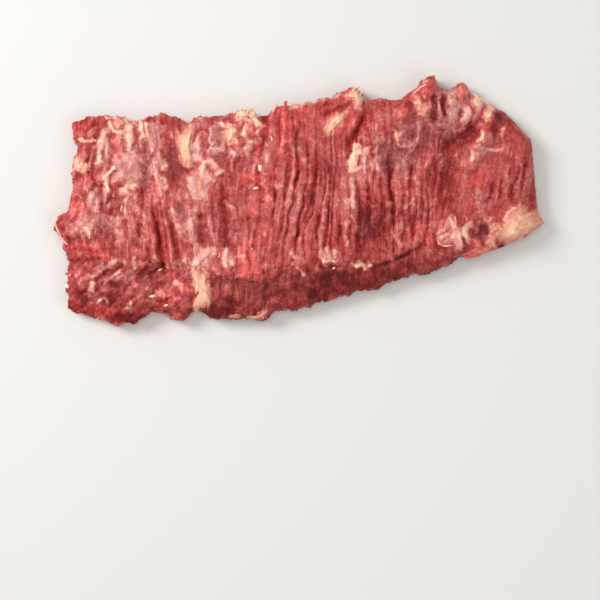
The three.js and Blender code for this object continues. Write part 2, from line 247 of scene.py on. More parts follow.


# %% [markdown]
# Which tissue lies where.
# The slab isn't one material: parts are ridged lean, parts are veiled by membrane, some are nearly
# purple where air hasn't reached, some bright red. Each kind is a set of soft ellipses in
# millimetres, and noise makes their edges ragged, so no ellipse can be made out. The set named dark
# is painted shade in valleys, clefts and on the front band below the step, over the meat's deeper red
# there. Other ellipses, in pixels of the photograph, only make a place a little lighter or darker:
# partly the meat's own tone, and partly painted shade and light, such as a painted shadow along the front
# edge.

# %% Tissue zones in mm: centre, half sizes, turn in degrees, strength
ZONES = {
    "ridged": [
        (6.9, 2.6, 25, 39, -8, 1), (51.6, -5.2, 20.8, 27, 0, 0.9), (26.7, -7.8, 10.4, 26, 0, 0.85),
        (-33.1, -7.8, 13.5, 21.8, 0, 0.55), (-69.5, -18.2, 10.4, 20.8, 8, 0.8),
        (-56.6, -10.4, 10.4, 18.2, 5, 0.4), (-7.2, 26, 11.4, 20.8, -10, 0.7),
    ],
    "torn": [
        (-100.8, 18.2, 23.4, 26, 0, 1), (-111, -8, 14.6, 19.8, 0, 1), (-82.6, 26, 18, 18, 0, 0.8),
        (-51.4, 20.8, 12, 23, 0, 0.8), (-30.6, 33.8, 13, 13, 0, 0.9), (-56.6, -10.4, 9, 17, 0, 0.5),
        (-35, -34, 18, 6.5, 0, 0.7), (14, -32, 10, 4, 0, 0.5), (-74.8, -52, 15.6, 10.4, 0, 0.5),
        (-110, -50, 14, 12, 0, 0.25), (83.9, 46.8, 20.8, 15.6, 0, 0.8), (89, -18.2, 18.2, 7.8, 0, 0.7),
        (48, 24, 11, 10, 0, 0.4),
    ],
    "fat": [
        (-90, 40, 9, 5, 0, 0.4), (-88, 6, 6, 5, 0, 0.4), (66, 47, 6, 5, 30, 0.4),
        (-27.5, 34, 8, 9, 0, 0.25),
    ],
    "silver": [
        (-87.8, 20.8, 18.7, 17.7, 0, 0.58), (-76.3, 33.3, 6.2, 11.4, 0, 0.8),
        (-88.3, 15.6, 8.8, 7.8, 0, 0.95), (-101.8, 26, 3.6, 9.4, 0, 0.8), (-42, 32.2, 4.7, 8.3, 0, 0.75),
        (78.7, 44.2, 16.6, 14.6, -20, 0.6), (44.9, 22.4, 11.4, 9.4, 0, 0.65), (95.3, -1, 5.2, 8.3, 0, 0.5),
        (-62.8, -7.8, 6.2, 13, 0, 0.45), (-50.5, -29, 6, 6, 0, 0.5), (-25.5, 35, 8, 9, 0, 0.25),
        (-90.4, -11.4, 14, 14, 0, 0.4), (-51, 8.3, 7, 9, 0, 0.75), (-37.8, -11.4, 6.2, 15.6, 0, 0.2),
        (-103.4, -13, 11.4, 8.3, 0, 0.5), (51.6, -2.6, 17.7, 23.4, 0, 0.3),
        (-25.4, 15.6, 13, 15.6, 0, 0.25), (5.9, 5.2, 23.4, 36.4, 0, 0.15), (115, 5.2, 10.4, 20.8, 0, 0.25),
        (56.8, 32.3, 10, 9, 0, 0.4), (72, 20.3, 8, 12, 0, 0.35), (38, 0, 9, 8, 0, 0.3),
        (-79.5, 3.2, 7, 7, 0, 0.45), (-54.5, 40, 7, 5, 0, 0.4), (-51.4, -8.7, 7, 7, 0, 0.35),
        (-14, -22.3, 6, 6, 0, 0.3), (-94, 5.8, 7, 5, 0, 0.3),
    ],
    "purple": [
        (-65.9, 17.7, 4.2, 9.9, 0, 0.95), (-76.3, 31.2, 4.2, 7.3, 0, 0.5), (-87.8, 18.2, 6.8, 6.2, 0, 0.6),
        (-42, 33.3, 3.1, 5.7, 0, 0.7), (-40.5, 20, 4.5, 5.5, 0, 0.5), (34.5, -14.6, 5.2, 7.3, 0, 0.7),
        (72, 42, 14, 12, 0, 0.85), (50, 24, 13, 10, 0, 0.8), (57, 36, 7, 9, 0, 0.6),
        (105.7, 46.8, 4.7, 4.2, 0, 0.7), (-74.8, -32.2, 5.2, 7.3, 0, 0.5), (115, 5.2, 7.3, 11.4, 0, 0.35),
        (95.3, -1, 5.2, 8.3, 0, 0.4), (94.2, -17.2, 6.2, 5.2, 0, 0.6), (-94, -41.6, 13.5, 6.2, 20, 0.5),
    ],
    "blood": [
        (-113.8, 37.4, 4.7, 4.2, 0, 0.9), (-107.5, 13, 4.2, 5.2, 0, 0.7),
        (-111.2, -26, 10.4, 5.7, -15, 0.8), (-116.4, -6.2, 5.7, 7.3, 0, 0.7),
        (-8.2, 37.4, 4.2, 12.5, 0, 0.9), (-26.4, -32.2, 6.2, 7.8, 0, 0.9), (63.1, -18.2, 5.7, 6.2, 0, 0.8),
        (95.3, -27, 8.3, 2.6, 8, 0.8), (94.2, 11.4, 6.2, 5.7, 0, 0.7), (68.2, 59.3, 8.3, 3.1, 25, 0.8),
        (-65.9, -47.8, 10.4, 7.3, 0, 0.8), (24.1, 40.6, 6.2, 6.2, 0, 0.6), (-106, -58.2, 12.5, 4.7, 0, 0.7),
        (-19.1, -46.8, 7.3, 4.2, 0, 0.4), (-16, 2.6, 5.2, 13, 0, 0.5), (-23.4, 36, 5, 5, 0, 1),
        (-93, -63.8, 14, 5, 0, 0.8), (-77.4, -60.7, 12, 5, 0, 0.8), (-61.8, -62.8, 8, 4, 0, 0.6),
        (103.1, -2.6, 6.2, 5.2, 0, 0.4),
    ],
    "gentle": [
        (14, 41, 20, 14, 12, 0.6), (19.3, 18.2, 6.5, 22, 0, 0.6), (-86.7, 14, 12, 11, 0, 0.95),
        (-74.8, 33.3, 5.5, 9, 0, 0.8), (-95.5, 27.5, 6.5, 9, 0, 0.7), (-65, 17, 5, 12, 0, 0.8),
        (-49.8, -14.6, 5, 8, 0, 0.8), (-38.4, -7.3, 5, 12, 0, 0.6), (-23.4, -3, 5, 7, 0, 0.8),
        (-42, 33.3, 4, 7, 0, 0.9), (-43, -30, 9, 6, 0, 0.8), (-51, 9, 6, 9, 0, 0.7),
        (-40.5, 20, 4.5, 5.5, 0, 0.7), (-25.9, -31.5, 6.5, 8, 0, 0.8), (-116, -10, 8, 10, 0, 0.5),
        (60, 40, 13, 9, 0, 0.4), (-62.4, -10, 6, 10, 0, 0.6),
    ],
    # dark: painted shade in valleys, clefts and on the front band below the step, over the deeper red there
    "dark": [
        (76.6, 9.4, 5, 24, -6, 0.25), (89, 32.8, 8.3, 3.2, 30, 0.8), (-19.1, 29.6, 2.6, 6.8, -20, 0.8),
        (30.8, 37.4, 2.6, 7.3, -20, 0.7), (26.7, -42.1, 57.2, 6.2, 7, 0.55), (38, -2, 8, 17, 0, 0.3),
        (94.2, -17.2, 5.2, 5.2, 0, 0.6), (-77.4, -32.2, 4.2, 9.4, 8, 0.5),
    ],
}


def zone_value(name, x, y):
    """How far a point belongs to a kind of tissue: the strongest of its soft, ragged ellipses."""
    ragged = 0.4 * layered(x / 6.5, y / 9, 41) + 0.25 * layered(x / 2.2, y / 3.8, 43)
    value = np.zeros(np.shape(x))
    for *ellipse, strength in ZONES[name]:
        value = np.maximum(value, strength * (1 - ease(0.6, 1.2, ellipse_reach(x, y, *ellipse) + ragged)))
    return value


print("zones:", {name: len(rows) for name, rows in ZONES.items()})

# %% Lighter and darker places in pixels: middle, half sizes, change of the lightness
SHADES = {
    "left": [
        (203, 154, 17, 15, 0.13), (143, 257, 14, 9, 0.15), (186, 262, 12, 12, 0.16), (181, 246, 9, 10, 0.1),
        (92, 195, 14, 11, 0.13), (202, 198, 12, 9, 0.12), (114, 222, 9, 13, -0.12), (150, 157, 8, 8, -0.25),
        (138, 228, 22, 26, 0.14), (186, 214, 24, 19, 0.12), (88, 302, 34, 15, -0.2),
        (110, 272, 46, 12, 0.1), (190, 157, 7, 9, 0.2), (172, 142, 6, 9, 0.15), (218, 238, 7, 8, 0.12),
        (114, 169, 7, 7, -0.15), (159, 119, 7, 6, -0.15), (129, 318, 19, 6, -0.5), (212, 311, 26, 6, -0.3),
        (180, 208, 6, 7, -0.17), (187, 180, 5, 6, -0.12), (84, 124, 14, 10, -0.12), (214, 143, 6, 6, -0.12),
        (175, 133, 5, 6, 0.15), (201, 125, 5, 5, 0.12), (112, 172, 6, 7, -0.15), (141, 229, 6, 7, -0.12),
        (157, 313, 18, 5, -0.15), (188, 297, 6, 6, 0.12), (134, 265, 6, 6, 0.1),
    ],
    "middle": [
        (262, 156, 15, 15, 0.13), (354, 190, 16, 20, 0.26), (261, 134, 8, 11, 0.2), (355, 131, 9, 11, 0.16),
        (269, 208, 8, 14, 0.12), (364, 240, 10, 11, -0.13), (322, 190, 22, 36, -0.07),
        (292, 214, 15, 17, 0.1), (259, 237, 14, 14, 0.15), (350, 276, 34, 12, -0.08),
        (345, 271, 12, 6, 0.12), (297, 186, 8, 15, 0.14), (236, 144, 6, 6, 0.12), (367, 259, 8, 5, -0.15),
        (264, 274, 8, 5, -0.15), (358, 123, 7, 6, 0.14), (291, 289, 9, 7, 0.13), (253, 128, 5, 5, -0.15),
        (240, 160, 5, 6, 0.12), (290, 130, 6, 8, -0.12), (270, 205, 5, 12, 0.1), (309, 140, 7, 7, -0.1),
        (343, 271, 6, 5, 0.1),
    ],
    "right": [
        (393, 117, 17, 12, 0.17), (428, 213, 9, 11, -0.15), (386, 154, 17, 15, -0.18),
        (425, 132, 40, 20, -0.07), (384, 222, 26, 24, -0.12), (436, 265, 13, 8, 0.16),
        (403, 112, 8, 8, 0.16), (494, 153, 8, 8, 0.13), (483, 129, 7, 6, -0.15), (416, 271, 15, 6, 0.2),
        (500, 246, 7, 5, -0.3), (402, 159, 7, 6, -0.15), (505, 125, 18, 14, -0.13),
        (494, 206, 14, 10, -0.1), (499, 236, 7, 10, -0.12), (410, 188, 6, 8, -0.1), (385, 196, 5, 8, 0.12),
    ],
}


def shade(x, y):
    """The sum of the changes of lightness, each fading from the middle of its ellipse to the edge."""
    total = np.zeros(np.shape(x))
    for middle_x, middle_y, half_x, half_y, change in sum(SHADES.values(), []):
        centre = from_photo([(middle_x, middle_y)])[0]
        reach = ellipse_reach(x, y, *centre, half_x * PIXEL, half_y * PIXEL, 0)
        total = total + change * (1 - ease(0.5, 1.4, reach))
    return total


print("shades:", {part: len(rows) for part, rows in SHADES.items()})

# %% [markdown]
# The forms that stand up or sink in.
# Fat flaps, folds and clefts are a few millimetres high or deep, so they belong in the mesh and not
# only in the shading. Raised forms are soft-edged ellipses, clefts follow a line, and each has
# its place and size in millimetres.

# %% Mounds: centre, half sizes, turn in degrees, rise. Clefts: line, half width, depth. All in mm
MOUNDS = {
    "fat flap": (114, -14, 16, 9, 28, 1.0),
    "star of fat": (79, -17, 9, 9, 0, 1.2),
    "front flap": (63, -18, 7, 7, 0, 0.8),
    "folded tip": (31, 52, 7, 9, 20, 1.2),
    "tilted fat": (19.5, 40, 7.5, 5, 45, 1.0),
    "rosette": (-25, 35, 9, 11, 0, 1.2),
    "fat strip": (-59, 26, 5.5, 12, -8, 1.2),
    "silverskin oval": (-88, 16, 10, 9.5, 0, 1.6),
    "silver slip": (-101, 26, 4.5, 9, 8, 1.0),
    "back corner fold": (72, 50, 10, 12, -20, 2.0),
    "back corner fat": (97, 44, 9, 5.5, -28, 1.6),
    "bright ridge": (94, 28, 5, 17, -26, 2.2),
    "front fat seam": (-52, -46, 6, 13, 0, 0.8),
    "left swell": (-104, -30, 14, 20, 10, 1.4),
}
CLEFTS = {
    "long cleft": ([(97, 42), (84, 35), (76, 28), (74, 14), (76, 0)], 5, 1.9),
    "rosette cleft": ([(-17, 37), (-20, 31), (-23, 25)], 2.2, 1.6),
    "tip cleft": ([(35, 44), (31, 37), (27, 31)], 2.2, 2.2),
    "bare hollow": ([(-67, 24), (-66, 12)], 5, 2.0),
    "left groove": ([(-75, -5), (-70, -36)], 1.5, 2.0),
    "second groove": ([(-68, -5), (-63, -30)], 1.5, 1.6),
    "dark bundle": ([(33, 2), (36, -20)], 5, 1.2),
}


def line_distance(x, y, line):
    """Distance to a line of straight stretches: the least of the distances to each stretch."""
    nearest = np.full(np.shape(x), np.inf)
    for (ax, ay), (bx, by) in zip(line[:-1], line[1:]):
        dx, dy = bx - ax, by - ay
        s = np.clip(((x - ax) * dx + (y - ay) * dy) / (dx * dx + dy * dy), 0, 1)
        nearest = np.minimum(nearest, np.hypot(x - ax - s * dx, y - ay - s * dy))
    return nearest


def bell(x, y, line, half):
    """exp(-(d / half) squared), d the distance to a line."""
    return np.exp(-((line_distance(x, y, line) / half) ** 2))


def cleft_share(x, y):
    """How far into any cleft a point is: the sum of depth times bell, along wobbling lines."""
    wobble_x = x + 0.8 * noise(x / 6, y / 6, 61)
    wobble_y = y + 0.8 * noise(x / 6, y / 6, 62)
    return sum(deep * bell(wobble_x, wobble_y, line, half) for line, half, deep in CLEFTS.values())


print("mounds:", len(MOUNDS), "clefts:", len(CLEFTS))

# %% [markdown]
# What is drawn one by one.
# Noise gives meat its fibres, but not its own places: a streak of fat, a pearly fold, a dark gap
# between two bundles. Each of these is a stroke, a short route across the face with a width, a
# strength and a small rise or dent. Routes could be painted on a texture, but here they raise the
# mesh and steer the colour at once. They are read off the photograph, so they are in its pixels.

# %% Strokes: strength, half width in pixels, rise in mm, then the route's points in pixels
STROKES = {}

# %% Strokes of fat
STROKES["fat"] = {
    "back left": [
        (0.9, 1.8, 0.5, (71, 140), (79, 139), (87, 141), (96, 140)),
        (0.9, 2.2, 0.1, (104, 135), (102, 144), (101, 154)),
        (1, 2, 0.5, (109, 122), (110, 127), (114, 131), (120, 132), (125, 129)),
        (0.7, 1.8, 0.4, (106, 117), (112, 116), (119, 117), (122, 122)),
        (1.2, 4.2, 0.5, (127, 120), (128, 129), (130, 139)), (0.9, 2.6, 0.3, (131, 138), (129, 150)),
        (1.1, 2.4, 0.4, (139, 119), (141, 128), (143, 136)),
        (0.9, 1.9, 0.4, (146, 122), (148, 134), (150, 144), (153, 152)),
    ],
    "back middle": [
        (1.1, 2.8, 0.5, (222, 124), (229, 126), (234, 130)),
        (0.75, 3, 0.8, (238, 119), (248, 119), (257, 121), (263, 126)),
        (1.1, 2.8, 0.4, (240, 113), (247, 114), (252, 113), (255, 119), (257, 124)),
        (0.9, 2.8, 0.6, (244, 129), (245, 135)),
        (0.65, 3.2, 0.5, (236, 138), (236, 145), (240, 150), (247, 149)),
    ],
    "back right": [
        (1.6, 4.6, 0.7, (357, 148), (355, 156), (353, 165)),
        (0.6, 2.6, 0.4, (394, 131), (396, 137), (398, 144)),
        (0.6, 5, 0.6, (416, 98), (418, 105), (418, 114)), (0.7, 2.4, 0.4, (418, 86), (424, 82), (428, 79)),
        (0.55, 4.6, 0.2, (482, 134), (476, 147), (471, 161)), (0.55, 3.2, 0.2, (503, 129), (503, 137)),
        (0.55, 3.4, 0.2, (490, 149), (495, 152), (501, 150)),
    ],
    "left": [
        (1.1, 4, 0.5, (125, 190), (129, 187), (134, 187)),
        (1.2, 2.4, 0.8, (113, 167), (109, 172), (105, 178), (106, 184), (109, 190)),
        (1.1, 3, 0.5, (107, 176), (106, 181)), (0.5, 3.4, 0.2, (165, 164), (165, 176), (166, 190)),
        (0.9, 2.6, 0.4, (86, 229), (89, 233)),
    ],
    "middle": [(0.8, 3.2, 0.4, (203, 166), (202, 176), (199, 187))],
    "right": [
        (1, 3.4, 0.2, (357, 167), (350, 170)),
        (0.42, 4.8, 1, (353, 190), (351, 206), (349, 220), (347, 232), (348, 244), (352, 255)),
    ],
    "front left": [
        (0.8, 2.6, 0.4, (134, 257), (135, 268)), (0.8, 3.2, 0.4, (176, 282), (180, 286), (182, 291)),
    ],
    "front middle": [(0.6, 2.2, 0.6, (320, 258), (325, 262), (330, 260), (336, 263), (339, 259))],
    "front right": [
        (0.7, 2, 0.6, (352, 263), (356, 267), (361, 264), (365, 268), (371, 265)),
        (0.6, 1.5, 0.4, (466, 254), (476, 255), (484, 252), (491, 248)),
    ],
}

# %% Strokes of silverskin
STROKES["silver"] = {
    "back left": [
        (1.8, 3.4, 0.7, (104, 134), (102, 143), (101, 152), (101, 161)),
        (0.94, 2.4, 0.3, (106, 137), (107, 146), (106, 155)),
        (0.6, 6.5, 0.5, (156, 128), (156, 138), (155, 146)),
        (1.1, 3.8, 0.4, (127, 157), (132, 158), (130, 163)),
        (0.68, 1.9, 0.36, (134, 156), (142, 160), (148, 166), (151, 173)),
        (0.6, 3.4, 0.3, (153, 156), (154, 164), (156, 172)),
        (0.7, 3, 0.4, (199, 134), (198, 142), (198, 150), (200, 158)),
        (0.9, 3, 0.2, (194, 146), (194, 159)),
    ],
    "back middle": [
        (0.8, 1.4, 0.6, (211, 149), (210, 138), (212, 128), (216, 123), (223, 123)),
        (0.7, 1.4, 0.4, (211, 148), (217, 149), (223, 152)),
        (0.8, 3.4, 0.4, (203, 164), (211, 162), (216, 166)),
        (0.7, 2.2, 0.7, (258, 132), (259, 138), (254, 142), (248, 142)),
        (0.68, 2.3, 0.24, (266, 142), (266, 155), (265, 168), (265, 180)),
        (0.6, 2.4, 0.5, (231, 150), (234, 155), (232, 165), (232, 172)),
        (0.75, 2.4, 0.6, (290, 107), (300, 104), (312, 101), (325, 97), (340, 93)),
    ],
    "back right": [
        (0.6, 3, 0.3, (363, 150), (364, 162), (362, 172)), (0.8, 4.2, 0.2, (400, 134), (403, 142)),
        (0.8, 1.8, 0.4, (400, 146), (408, 147), (417, 143)),
        (1, 1.9, 0.5, (378, 146), (376, 158), (378, 170)),
        (1, 2.2, 0.5, (367, 148), (365, 160), (365, 173)),
        (0.7, 2.2, 0.4, (418, 122), (419, 132), (416, 143), (412, 151)),
        (0.5, 2.1, 0.6, (439, 97), (440, 108), (439, 120)),
        (0.55, 3.2, 0.3, (427, 124), (438, 124), (448, 127)), (0.95, 3, 0.5, (449, 95), (450, 103)),
        (0.77, 2.3, 0.36, (449, 112), (453, 120), (455, 128), (455, 135)),
        (1.2, 3.2, 0.6, (467, 110), (465, 119)), (0.5, 5, 0.3, (490, 136), (484, 150), (478, 164)),
    ],
    "left": [
        (0.55, 10, 0.4, (126, 166), (129, 176)), (0.8, 4.2, 0.4, (91, 192), (92, 200), (95, 209)),
        (0.8, 3.4, 0.2, (163, 160), (163, 174), (165, 186)), (0.8, 4.6, 0.3, (194, 176), (193, 184)),
        (1.2, 3.8, 0.5, (191, 180), (193, 187), (194, 191)),
        (0.6, 4.6, 0.3, (188, 196), (197, 195), (205, 194)),
        (0.45, 4.6, 0.3, (70, 230), (80, 230), (87, 227)),
        (0.55, 5, 0.9, (173, 211), (176, 220), (181, 232)),
        (0.8, 4.6, 0.8, (191, 211), (191, 222), (190, 234)), (0.5, 5, 0.5, (192, 238), (195, 249)),
    ],
    "middle": [
        (0.9, 2.4, 0.4, (214, 180), (216, 174), (221, 171)),
        (0.68, 2.1, 0.3, (225, 201), (229, 205), (235, 208)),
        (0.45, 4.2, 0.5, (209, 222), (211, 232), (214, 243)),
        (0.4, 2.2, 0.5, (217, 206), (218, 222), (219, 240)),
        (0.4, 4, 0.7, (232, 208), (235, 222), (235, 234), (236, 246)),
        (0.4, 3.4, 0.5, (300, 195), (297, 208), (295, 220), (294, 233)),
    ],
    "right": [
        (0.5, 2.2, 0.4, (416, 176), (416, 190), (414, 204)), (1, 2.2, 0.6, (419, 240), (416, 246)),
        (0.7, 2.3, 0.4, (392, 232), (396, 239), (400, 245)), (0.8, 4, 0.4, (452, 216), (455, 222)),
        (0.6, 2.2, 0.4, (481, 216), (488, 220), (494, 217)),
        (0.6, 4.6, 0.1, (478, 189), (480, 200), (478, 211)),
        (0.85, 2.4, 0.3, (504, 219), (509, 213), (515, 208)),
    ],
    "front left": [
        (0.75, 2.8, 0.7, (116, 261), (109, 265), (101, 269), (95, 274), (90, 278)),
        (0.65, 2.4, 0.5, (118, 272), (111, 277), (105, 282)),
        (0.7, 2.2, 0.4, (98, 302), (103, 298), (107, 301)),
        (0.5, 4.6, 0.4, (187, 258), (188, 268), (187, 276)), (1.3, 2.4, 0.5, (92, 284), (92, 291)),
        (1, 1.8, 0.4, (131, 303), (128, 308)),
    ],
    "front middle": [
        (1.15, 5.2, 0.8, (194, 266), (199, 258), (206, 252), (213, 251)),
        (0.7, 3.8, 0.6, (202, 264), (209, 257)), (1.5, 2.8, 0.8, (226, 250), (225, 257), (224, 264)),
        (1, 3, 0.7, (227, 254), (229, 260), (231, 264)), (0.45, 4.6, 0.3, (208, 264), (213, 268)),
        (1, 2.3, 0.7, (293, 253), (296, 260), (292, 265)),
        (0.77, 2.1, 0.36, (298, 268), (301, 272), (305, 274)), (1, 2.8, 0.6, (327, 249), (328, 257)),
        (1, 2.2, 0.5, (335, 250), (336, 257)), (0.7, 5, 0.5, (323, 255), (334, 256)),
    ],
    "front right": [(0.6, 3.4, 0.4, (353, 264), (370, 265))],
}

# %% Pale crests: partly the paler tissue of ridge tops, partly painted highlight
STROKES["pale"] = {
    "back right": [(1.1, 6, 0.9, (485, 130), (480, 142), (474, 154), (470, 167))],
    "left": [
        (0.8, 4.2, 0.2, (156, 170), (157, 184), (159, 200)),
        (0.8, 4.2, 0.8, (160, 200), (163, 212), (167, 226), (169, 240), (171, 256), (172, 268)),
        (0.6, 2, 0.2, (171, 206), (173, 216), (177, 228), (181, 238)),
    ],
    "middle": [
        (0.9, 3.4, 0.4, (298, 150), (303, 158), (308, 167), (307, 180), (303, 195)),
        (0.8, 1.8, 0.4, (292, 148), (294, 165), (292, 182), (291, 204)),
        (0.9, 3.6, 0.5, (323, 200), (322, 215), (322, 232), (320, 246)),
        (0.8, 1.6, 0.4, (338, 195), (338, 206), (341, 214)),
    ],
    "right": [
        (1, 3.2, 0.5, (397, 164), (398, 176), (397, 188)),
        (1, 2.8, 0.5, (406, 162), (406, 175), (404, 186)),
        (0.9, 2, 0.7, (508, 171), (507, 184), (506, 199)),
        (0.9, 2, 0.7, (521, 165), (519, 180), (517, 196)),
        (0.9, 1.9, 0.7, (529, 168), (527, 181), (524, 194)), (0.8, 1.8, 0.6, (499, 181), (496, 201)),
        (0.8, 1.8, 0.5, (532, 154), (530, 180)),
    ],
    "front left": [
        (0.8, 2.6, 0.6, (100, 292), (110, 289), (120, 290)),
        (0.9, 2.6, 0.6, (130, 303), (140, 295), (150, 288)),
        (0.8, 3, 0.5, (153, 238), (154, 250), (155, 262)),
        (1.2, 3, 0.5, (145, 238), (144, 250), (145, 262)),
    ],
    "front middle": [(1.2, 3, 0.7, (244, 256), (246, 264))],
}

# %% Dark grooves and gaps: painted shade over the meat's deeper red in them
STROKES["dark"] = {
    "back left": [
        (1.4, 1.6, -0.7, (104, 146), (104, 152), (103, 158)),
        (0.59, 1.8, -0.41, (96, 138), (97, 148), (96, 160)),
    ],
    "back middle": [
        (0.77, 1.3, -0.48, (237, 146), (243, 149)),
        (0.8, 2.2, -0.8, (269, 124), (267, 136), (262, 144), (254, 151)),
        (0.94, 2.8, -0.54, (239, 158), (240, 170)), (0.85, 1.6, -0.54, (321, 109), (327, 101)),
        (1.1, 2, -0.68, (322, 115), (331, 111), (341, 107), (350, 103)),
        (0.59, 2, -0.41, (301, 122), (299, 132), (294, 140)),
    ],
    "back right": [
        (1.1, 1.9, -0.95, (364, 117), (358, 128), (353, 138), (350, 149), (350, 158)),
        (1.5, 3, -0.6, (434, 99), (434, 108), (435, 118)),
        (1.35, 2.4, -0.9, (444, 96), (443, 105), (445, 114)),
        (1.36, 3.4, -0.95, (449, 143), (456, 137), (464, 134), (472, 128), (480, 121)),
        (0.77, 2.6, -0.14, (498, 114), (500, 120)),
    ],
    "left": [
        (0.68, 2.6, -0.41, (110, 193), (111, 205), (112, 214)), (0.77, 2.4, -0.48, (142, 192), (143, 206)),
        (1.3, 2.8, -0.6, (59, 226), (63, 233), (68, 240)), (1, 3, -0.6, (139, 219), (139, 234)),
        (0.9, 2.6, -0.5, (125, 221), (126, 235)),
        (0.66, 2.6, -0.9, (156, 210), (158, 225), (160, 240), (162, 255), (163, 269)),
        (0.66, 2.4, -0.8, (168, 209), (170, 222), (173, 236), (176, 247)),
    ],
    "middle": [
        (1, 2.4, -0.6, (223, 176), (227, 178)), (0.94, 2.4, -0.54, (259, 174), (259, 182)),
        (0.77, 2.4, -0.54, (223, 188), (222, 205)), (0.77, 2.4, -0.54, (235, 206), (239, 212)),
        (0.9, 5.2, -1, (203, 218), (202, 228), (201, 240)), (0.85, 2.2, -0.68, (213, 204), (215, 219)),
        (0.85, 4.2, -0.9, (224, 200), (225, 212), (226, 224), (225, 234)),
        (0.9, 1.3, -0.5, (227, 232), (227, 248)), (0.77, 2, -0.61, (240, 216), (241, 230)),
        (1.02, 2, -0.68, (255, 232), (254, 247)),
        (1, 2.5, -0.6, (313, 160), (315, 172), (314, 185), (311, 199), (308, 212), (303, 222), (299, 234)),
        (0.94, 2, -0.75, (322, 165), (321, 178), (320, 191)), (0.85, 1.7, -0.61, (327, 161), (329, 172)),
        (0.68, 1.6, -0.61, (286, 148), (288, 162), (287, 176), (285, 190), (285, 206), (283, 218),
            (281, 232)), (0.68, 1.6, -0.54, (277, 192), (275, 206), (273, 217)),
        (0.68, 1.5, -0.54, (298, 172), (296, 188), (296, 203), (293, 217)),
        (1.02, 2, -0.5, (318, 213), (317, 228), (314, 240), (312, 250)),
        (0.68, 1.6, -0.54, (328, 204), (329, 220), (327, 238), (324, 251)),
        (0.77, 1.7, -0.61, (341, 226), (338, 244)),
    ],
    "right": [
        (0.94, 2.2, -0.68, (357, 232), (357, 251)), (0.68, 6, -0.48, (364, 203), (364, 220), (364, 237)),
        (0.94, 2.2, -0.82, (389, 164), (389, 178), (391, 191), (393, 206), (392, 222)),
        (1.02, 2, -0.82, (411, 166), (411, 180), (410, 196), (410, 212), (412, 229), (415, 240)),
        (0.94, 2, -0.75, (367, 180), (369, 195), (370, 209), (367, 222)),
        (0.85, 2, -0.68, (381, 203), (381, 218), (379, 235)), (0.68, 4.6, -0.34, (368, 224), (372, 236)),
        (0.9, 1.6, -0.5, (434, 233), (434, 240), (437, 246)), (0.85, 2, -0.41, (463, 236), (464, 243)),
        (0.94, 4.6, -0.27, (480, 226), (483, 234)), (1, 1.7, -0.7, (519, 170), (512, 189), (512, 202)),
        (0.9, 1.4, -0.6, (503, 179), (499, 198)), (0.9, 1.5, -0.6, (525, 165), (522, 188)),
        (0.8, 1.4, -0.5, (493, 181), (490, 199)), (0.65, 2.2, -0.4, (534, 180), (533, 205)),
    ],
    "front left": [
        (0.7, 1.5, -0.5, (68, 250), (78, 248), (88, 250), (98, 252)),
        (0.68, 2, -0.48, (72, 261), (82, 261), (90, 260)),
        (0.85, 2.2, -0.61, (122, 266), (112, 271), (103, 276), (98, 280)),
        (0.8, 2.2, -0.54, (96, 288), (108, 284), (117, 285)),
        (0.68, 2, -0.54, (78, 293), (88, 291), (92, 295)), (0.85, 1.8, -0.54, (119, 296), (126, 291)),
        (1, 3.4, -0.7, (140, 270), (140, 280)), (0.5, 3, -0.5, (152, 274), (158, 270), (166, 268)),
        (0.55, 2.4, -0.6, (149, 242), (151, 254), (151, 264)),
        (1.27, 2, -0.68, (160, 301), (165, 300), (171, 298)), (1.1, 1.8, -0.54, (150, 308), (156, 306)),
    ],
    "front middle": [
        (0.7, 1.6, -0.3, (197, 268), (203, 261), (211, 254)),
        (0.8, 1.5, -0.6, (249, 252), (250, 262), (250, 270)), (0.68, 4, -0.34, (232, 303), (240, 304)),
        (0.68, 5, -0.27, (262, 284), (268, 292)), (0.94, 6, -0.41, (322, 281), (324, 290), (316, 294)),
        (0.59, 4, -0.27, (334, 272), (346, 272)),
        (0.7, 1.5, -0.3, (262, 272), (272, 268), (283, 267), (290, 266)),
        (0.6, 1.4, -0.3, (310, 266), (318, 264), (330, 268)),
    ],
    "front right": [
        (0.68, 3.6, -0.27, (376, 275), (392, 272)),
        (0.9, 1.6, -0.4, (374, 268), (384, 264), (395, 260), (404, 256), (411, 251), (418, 247),
            (423, 241)), (0.85, 1.5, -0.61, (441, 247), (447, 246), (452, 246)),
    ],
}

